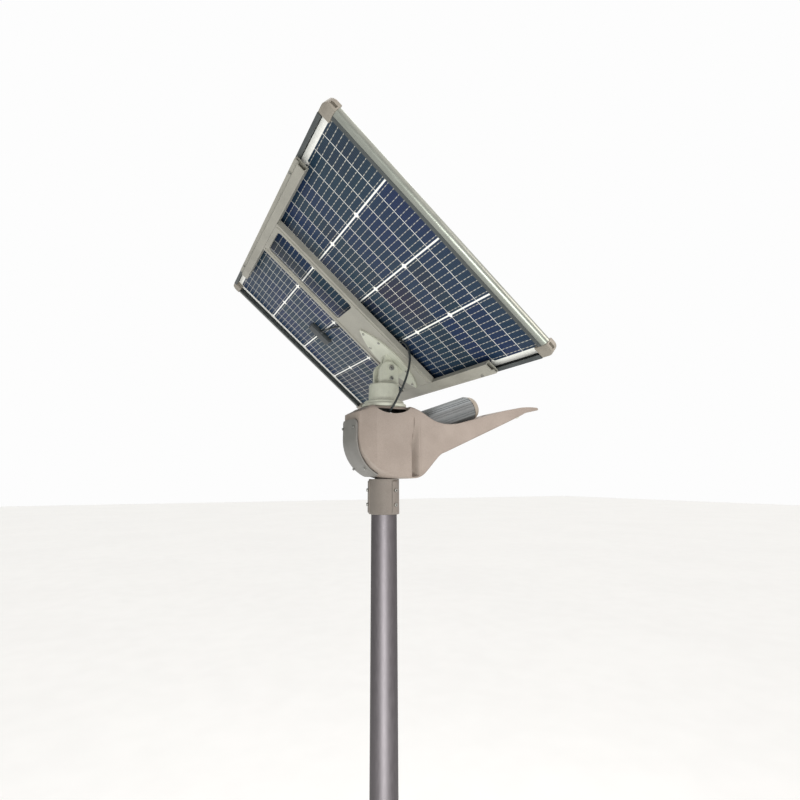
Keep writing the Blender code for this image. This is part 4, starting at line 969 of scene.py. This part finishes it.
def rear_line(along):
    """A point on the rear line and its outward normal, by distance: straight down, then a quarter ellipse."""
    drop = cover_top - rear_drop
    angle = np.radians(np.linspace(0, 66, 400))
    curve = np.stack([-rear_reach * np.cos(angle), rear_drop * (1 - np.sin(angle))], -1)
    travelled = np.concatenate([[0], np.cumsum(np.linalg.norm(np.diff(curve, axis=0), axis=1))])
    at = np.interp(along - drop, travelled, angle)
    x = np.where(along < drop, -rear_reach, -rear_reach * np.cos(at))
    z = np.where(along < drop, cover_top - along, rear_drop * (1 - np.sin(at)))
    out = np.stack([-np.cos(at) / rear_reach, -np.sin(at) / rear_drop], -1)
    return np.stack([x, z], -1), out / np.linalg.norm(out, axis=1, keepdims=True), drop + travelled[-1]


crease_inset, crease_half = 0.0127, 0.0620      # the crease: how far inside the rear line and to the side


def rear_strip(name, half_width, corner, low, high, fold):
    """A strip on the domed rear, between two heights over it, with round upper corners and a folded rim."""
    total = rear_line(np.zeros(1))[2]
    along = np.concatenate([corner * (1 - np.cos(np.linspace(0, math.pi / 2, 16))),
                            np.linspace(corner, total, 60)[1:]])
    line, out, total = rear_line(along)
    before_end = np.clip(corner - along, 0, corner)
    half = half_width - corner + np.sqrt(np.clip(corner ** 2 - before_end ** 2, 0, None))
    across = np.concatenate([[-1.0] * 3, np.linspace(-1, 1, 33), [1.0] * 3, np.linspace(1, -1, 33)])
    inset = np.concatenate([[0, 0, fold * 0.3], [fold] * 33, [fold * 0.3, 0, 0], [0] * 33])
    height = np.concatenate([[low, high - fold, high - fold * 0.3], [high] * 33,
                             [high - fold * 0.3, high - fold, low], [low] * 33])
    y = half[:, None] * across - np.sign(across) * inset
    height = height - crease_inset * (1 - rear_bow(y / crease_half))
    spot = line[:, None] + out[:, None] * height[..., None]
    return shell(name, [(on_head(np.stack([spot[..., 0], y, spot[..., 1]], -1)), "tube")], sharp=30)


finished(rear_strip("rear_cover_pressed", 0.0575, 0.016, 0.0021, 0.0058, 0.0010), "lamp", cover_coat,
         "rear_cover")
finished(rear_strip("rear_gasket_cut", 0.0565, 0.015, 0.0002, 0.0020, 0.0002), "lamp", rubber, "rear_gasket")

# %% [markdown]
# ## Light engine under the arm
# Behind a clear cover sits a white board with rows of LEDs. The cover of such a lamp is moulded with
# one small lens over each LED, so it is a flat sheet whose height rises in a repeating dome.

# %% Lens sheet
lens_material, lens_shader = new_finish("clear moulded polycarbonate", Roughness=0.06, IOR=1.585,
                                        Transmission_Weight=1.0)
place = add(lens_material, "TexCoord").outputs["Object"]
haze = add(lens_material, "TexNoise", {"Scale": 400.0}, {"Vector": place}).outputs["Fac"]
haze = add(lens_material, "MapRange", {"To Min": 0.03, "To Max": 0.12}, {"Value": haze}).outputs["Result"]
lens_material.node_tree.links.new(haze, lens_shader.inputs["Roughness"])
tint = add(lens_material, "MapRange", {"To Min": 0.92, "To Max": 0.98},
           {"Value": add(lens_material, "TexNoise", {"Scale": 30.0}, {"Vector": place}).outputs["Fac"]})
lens_material.node_tree.links.new(tint.outputs["Result"], lens_shader.inputs["Base Color"])

led_count, led_pitch_y = 12, 0.018
led_from, led_pitch = lens_low + 0.026, (lens_high - lens_low - 0.052) / (led_count - 1)
x = np.linspace(lens_low + 0.0006, lens_high - 0.0006, 280)
sheet_half, sheet_corner = 0.0366, 0.0096       # half width of the sheet and radius of its corners
v = np.linspace(-sheet_half, sheet_half, 82)
grid_x, grid_y = np.meshgrid(x, v, indexing="ij")
nearest_x = led_from + led_pitch * np.clip(np.round((grid_x - led_from) / led_pitch), 0, led_count - 1)
nearest_y = led_pitch_y * np.clip(np.round(grid_y / led_pitch_y), -1, 1)
away = np.hypot((grid_x - nearest_x) / 0.0105, (grid_y - nearest_y) / 0.0078)
dome = 0.0030 * np.sqrt(np.clip(1 - away ** 2, 0, 1))
# the sheet's corners are pulled in to the pocket's round corners
past = np.abs(grid_x - (lens_low + lens_high) / 2) - (lens_high - lens_low) / 2 + 0.0102
pull = np.clip(past, 0, sheet_corner)
limit = sheet_half - sheet_corner + np.sqrt(sheet_corner ** 2 - np.minimum(pull, 0.00959) ** 2)
grid_y = grid_y / sheet_half * limit
under = np.stack([grid_x, grid_y, np.full_like(dome, 0.0009)], -1)
over = np.stack([grid_x, grid_y, 0.0042 + dome], -1)
sheet = np.concatenate([under, over[:, ::-1]], 1)
finished(shell("led_lens_sheet", [(on_arm(sheet), "tube")], sharp=40), "lamp", lens_material, "led_lens")

# %% [markdown]
# ## Battery
# The battery is a finned extrusion with a moulded cap at each end. Fins and grooves are one outline
# carried along its axis. The caps are turned, with a rim of a few millimetres and a low dome.

# %% Battery caps
cap_profile = [(0, 0.2268), (0.0395, 0.2268), (0.0408, 0.2274), (0.0412, 0.2286), (0.0411, 0.2310),
               (0.0404, 0.2360), (0.0388, 0.2415), (0.0360, 0.2468), (0.0318, 0.2515), (0.0262, 0.2552),
               (0.0190, 0.2580), (0.0110, 0.2598), (0, 0.2605)]
rear_profile = [(0, -0.0070), (0.0405, -0.0070), (0.0425, -0.0063), (0.0434, -0.0050), (0.0435, -0.0018),
                (0.0425, -0.0004), (0, -0.0004)]
for name, node, profile in (("battery_cap_front_moulded", "battery_cap_front", cap_profile),
                            ("battery_cap_rear_moulded", "battery_cap_rear", rear_profile)):
    grid = round_about(profile, 96)[..., [2, 0, 1]]
    finished(shell(name, [(on_pack(grid), "poles")], sharp=40), "lamp", cap_plastic, node)

# %% [markdown]
# ## Top flange, swivel and clevis
# The flange closes the head's top, and the sleeve with the two ears turns on its spigot. The flange is
# turned. The sleeve's casting is the CAD shape with its edges rounded, as sand casting leaves them.

# %% Flange and clevis
grid = round_about([(0.012, 0.2258), (0.0707, 0.2258), (0.0720, 0.2262), (0.0727, 0.2274), (0.0727, 0.2334),
                    (0.0722, 0.2348), (0.0710, 0.2356), (0.0690, 0.2358), (0.0400, 0.2358), (0.0400, 0.2898),
                    (0.0120, 0.2898)], 120)
# the flange and bracket castings carry the bracket powder, painted lighter against the panel's shadow
finished(shell("top_flange_turned", [(on_head(grid), "ring")], sharp=40), "lamp", bracket_coat_lightened, "top_cap")
for name, node, width, body, finish, slot in (
        ("clevis_casting", "swivel_clevis", 0.0014, "swivel", bracket_coat_lightened, "bracket_paint"),
        ("leaf_casting", "leaf_plate", 0.0010, "panel", bracket_coat_lightened, "bracket_paint"),
        ("spine_folded", "carrier_spine", 0.0008, "panel", carrier_coat, "carrier_paint"),
        ("crossbar_upper_folded", "crossbar_upper", 0.0010, "panel", carrier_coat, "carrier_paint"),
        ("crossbar_lower_folded", "crossbar_lower", 0.0010, "panel", carrier_coat, "carrier_paint")):
    finished(softened_copy(name, node, width), body, finish, node)

# %% [markdown]
# ## Panel frame
# The long rails are plain black profiles and keep their CAD shape. Each short rail is a dark channel
# with a round silver trim along its outside, so the trim is a half-round outline carried along it.

# %% Short rails with their trims
rail_back, rail_front, lip, rail_wall = -0.0215, 0.0046, 0.012, 0.0018
channel = [(0, rail_back), (lip, rail_back), (lip, rail_back + 0.0016), (rail_wall, rail_back + 0.0016),
           (rail_wall, -0.0046), (0.009, -0.0046), (0.009, -0.0031), (rail_wall, -0.0031),
           (rail_wall, 0.0031), (0.009, 0.0031), (0.009, rail_front), (0, rail_front)]
bulge_turn = np.linspace(0, math.pi, 40)
rail_middle, rail_half = (rail_front + rail_back) / 2, (rail_front - rail_back) / 2
trim_outline = np.stack([-0.0006 - 0.0172 * np.sin(bulge_turn) ** 0.8,
                         rail_middle + rail_half * 0.985 * np.cos(bulge_turn)], -1)
half_long, half_short, cap_short, cap_long = 0.582, 0.394, 0.035, 0.046
half_rail = half_short - cap_short - 0.0003     # the short rail ends just before the corner caps
for side_sign, title in ((-1, "near"), (1, "far")):
    for part, outline, finish in (("rail", channel, rail_anodised), ("trim", trim_outline, trim_anodised)):
        depth, level = np.array(outline).T
        grid = swept(np.stack([side_sign * (half_long - depth), cells_z + level], -1), middle_x - half_rail,
                     middle_x + half_rail, "x")
        finished(shell(f"short_{part}_{title}", [(on_panel(grid), "tube")], sharp=34), "panel", finish,
                 f"frame_short_{title}")

# %% [markdown]
# ## Corner caps
# A moulded cap closes each corner of the frame. It is a block with one large outer radius, and its rims
# are rounded by shrinking the outline over the last millimetres. A slot in its end drains water.

# %% Corner caps
def block(low, high, radii, bottom, top, rim):
    """An outline carried upward, pulled in as a quarter circle at both rims."""
    turns = np.radians([0, 25, 50, 70, 90])
    levels = np.concatenate([bottom + rim * (1 - np.sin(turns[::-1])), top - rim * (1 - np.sin(turns))])
    pull = np.concatenate([rim * (1 - np.cos(turns[::-1])), rim * (1 - np.cos(turns))])
    rows = []
    for level, d in zip(levels, pull):
        outline = rounded((low[0] + d, low[1] + d), (high[0] - d, high[1] - d),
                          np.maximum(np.array(radii) - d, 0.0006))
        rows.append(np.column_stack([outline, np.full(len(outline), level)]))
    return np.array(rows)


trim_bulge, drain_depth = 0.018, 0.006
for index, (a, b) in enumerate(((-1, -1), (1, -1), (1, 1), (-1, 1))):
    x0, x1 = sorted((middle_x + a * (half_short - cap_short), middle_x + a * half_short))
    y0, y1 = sorted((b * (half_long + trim_bulge - cap_long), b * (half_long + trim_bulge)))
    radii = [0.022 if (right, up) == (a, b) else 0.0015 for right, up in ((1, -1), (1, 1), (-1, 1), (-1, -1))]
    corner = shell(f"corner_cap_{index + 1}_moulded", [(on_panel(block(
        (x0, y0), (x1, y1), radii, cells_z + rail_back, cells_z + rail_front + 0.0006, 0.0035)), "tube")])
    inner_x, inner_y = middle_x + a * 0.3913, b * 0.5793
    pocket = rounded((min(inner_x, middle_x + a * 0.30), min(inner_y, b * 0.50)),
                     (max(inner_x, middle_x + a * 0.30), max(inner_y, b * 0.50)), 0.0005, 1)
    pocket = swept(pocket, cells_z - 0.0031, cells_z + 0.0031, "z")
    carve(corner, shell("cutter", [(on_panel(pocket), "tube")]))
    slot_x = sorted((middle_x + a * (half_short - cap_short + 0.004),
                     middle_x + a * (half_short - cap_short + 0.022)))
    slot_y = sorted((b * (half_long + trim_bulge - drain_depth), b * (half_long + trim_bulge + 0.01)))
    slot = rounded((slot_x[0], slot_y[0]), (slot_x[1], slot_y[1]), 0.0012, 3)
    slot = swept(slot, cells_z - 0.0165, cells_z - 0.0075, "z")
    carve(corner, shell("cutter", [(on_panel(slot), "tube")]))
    settle(corner.data, 1e-6, 34)
    finished(corner, "panel", corner_plastic, f"corner_cap_{index + 1}")

# %% [markdown]
# ## Junction box
# A low ABS box with a lid and a gland. The box and lid are the same rounded block at two sizes.

# %% Junction box
box_top = cells_z - 0.0031
box_near, box_far, box_half = 0.306, 0.354, 0.050
gland = round_about([(0.0036, -0.002), (0.0060, -0.002), (0.0060, 0.0035), (0.0054, 0.0040), (0.0054, 0.0052),
                     (0.0060, 0.0057), (0.0060, 0.0090), (0.0052, 0.0100), (0.0036, 0.0100)], 48)
gland = gland[..., [0, 2, 1]] * (1, -1, 1) + (middle_x, box_near, box_top - 0.0082)
body = block((middle_x - box_half, box_near), (middle_x + box_half, box_far), 0.005, box_top - 0.0125,
             box_top, 0.0014)
lid_block = block((middle_x - box_half + 0.003, box_near + 0.003),
                  (middle_x + box_half - 0.003, box_far - 0.003),
                  0.004, box_top - 0.0150, box_top - 0.0118, 0.0008)
finished(shell("junction_box_moulded", [(on_panel(body), "tube"), (on_panel(lid_block), "tube"),
                                        (on_panel(gland), "ring")], sharp=34),
         "panel", box_plastic, "junction_box")

# %% [markdown]
# ## Finishes of the nodes that keep their shape
# The rest are flat or plainly straight pieces, right as they are. Each gets its real finish.

# %% Carried nodes
for finish, nodes in (
        (rail_anodised, ("frame_long_upper", "frame_long_lower")),
        (cells, ("glass_rear", "glass_front", "cell_layer")),
        (pack_anodised, ("battery_shell",)), (rubber, ("battery_gasket",)),
        (cell_wrap, ("battery_cells",)), (board_mask, ("led_board",)), (sensor_plastic, ("motion_sensor",)),
        (box_plastic, ("charge_controller",))):
    for node in nodes:
        frame["nodes"][node].data.materials.clear()
        frame["nodes"][node].data.materials.append(finish)
        print(node, "is", finish.name)

# %% [markdown]
# ## Floor and light
# The lamp stands on a wide plain pale floor of matt paper, flat out to where it can't be told from the
# white behind it.

# %% Floor
half_floor = 60.0
corners = half_floor * np.array([[(-1, -1, 0), (-1, 1, 0)], [(1, -1, 0), (1, 1, 0)]])
floor = shell("floor", [(corners.astype(float), "patch")])
# a roll of matt paper: flat, nearly white, with no sheen and only a slow drift of tone
floor_paint = grained("matt studio paper", "#F8F9FB", "#F5F6F8", 0.9, 3000, 400, 0.01)
floor.data.materials.append(floor_paint)
print("floor is", 2 * half_floor, "m wide")

# %% [markdown]
# ### Sky
# The dome is brighter on one side and overhead, so that faces turned different ways get different
# tones. The camera itself sees one even white behind the lamp.

# %% Sky
sky = bpy.data.worlds.new("studio")
sky.use_nodes = True
light = sky.node_tree.nodes["Background"]
direction = add(sky, "TexCoord").outputs["Generated"]
turned_sky = add(sky, "Mapping", {"Rotation": (0, 0, math.radians(68))},
                 {"Vector": direction}).outputs["Vector"]
side_of_sky = add(sky, "SeparateXYZ", None, {"Vector": turned_sky}).outputs["X"]
share_of_sky = add(sky, "MapRange", {"From Min": -1.0, "From Max": 1.0},
                   {"Value": side_of_sky}).outputs["Result"]
dome = add(sky, "Mix", {"data_type": "RGBA", 6: linear("#858D88"), 7: linear("#FFF8F4")},
           {0: share_of_sky}).outputs[2]
height = add(sky, "SeparateXYZ", None, {"Vector": direction}).outputs["Z"]
overhead = add(sky, "MapRange", {"To Min": 0.95, "To Max": 1.95}, {"Value": height}).outputs["Result"]
dome = add(sky, "VectorMath", {"operation": "SCALE"}, {0: dome, "Scale": overhead}).outputs["Vector"]
seen = add(sky, "LightPath").outputs["Is Camera Ray"]
shown = add(sky, "Mix", {"data_type": "RGBA", 7: linear("#FDFDFD")}, {0: seen, 6: dome}).outputs[2]
sky.node_tree.links.new(shown, light.inputs["Color"])
bpy.context.scene.world = sky
bpy.context.scene.view_settings.view_transform = "Standard"
print("sky is", sky.name)

# %% [markdown]
# ### Lamps
# Four wide lamps stand round the lamp, as in a studio. The tall strip is flagged off everything but the
# pole, where it draws one broad bright band.

# %% Lamps
def soft_light(name, location, target, size, watts, colour):
    """A lamp of that width and height that looks at a target."""
    lamp = bpy.data.lights.new(name, "AREA")
    lamp.shape = "RECTANGLE"
    (lamp.size, lamp.size_y), lamp.energy, lamp.color = size, watts, linear(colour)[:3]
    holder = bpy.data.objects.new(name, lamp)
    bpy.context.scene.collection.objects.link(holder)
    holder.location = location
    away = np.array(location, float) - target
    holder.rotation_euler = (math.acos(away[2] / np.linalg.norm(away)), 0,
                             math.atan2(away[1], away[0]) + math.pi / 2)
    return holder


aim_at = np.array([0.0, 0.0, head_z + 0.2])
soft_light("key", (2.2, -3.0, 3.4), aim_at, (1.8, 1.8), 40, "#FFF4EC")
strip = soft_light("strip", (-1.12, -2.35, 1.45), np.array([0, 0, 1.45]), (0.80, 2.4), 300, "#FFFFFF")
strip_lights = bpy.data.collections.new("lit by the strip")      # the strip is flagged off all but the pole
strip_lights.objects.link(pole)
strip.light_linking.receiver_collection = strip_lights
soft_light("low fill", (-0.9, -2.2, 1.0), aim_at, (1.4, 1.0), 36, "#F6FAF2")
soft_light("top", (0.4, 0.6, 5.6), aim_at, (2.5, 2.5), 40, "#FFFFFF")
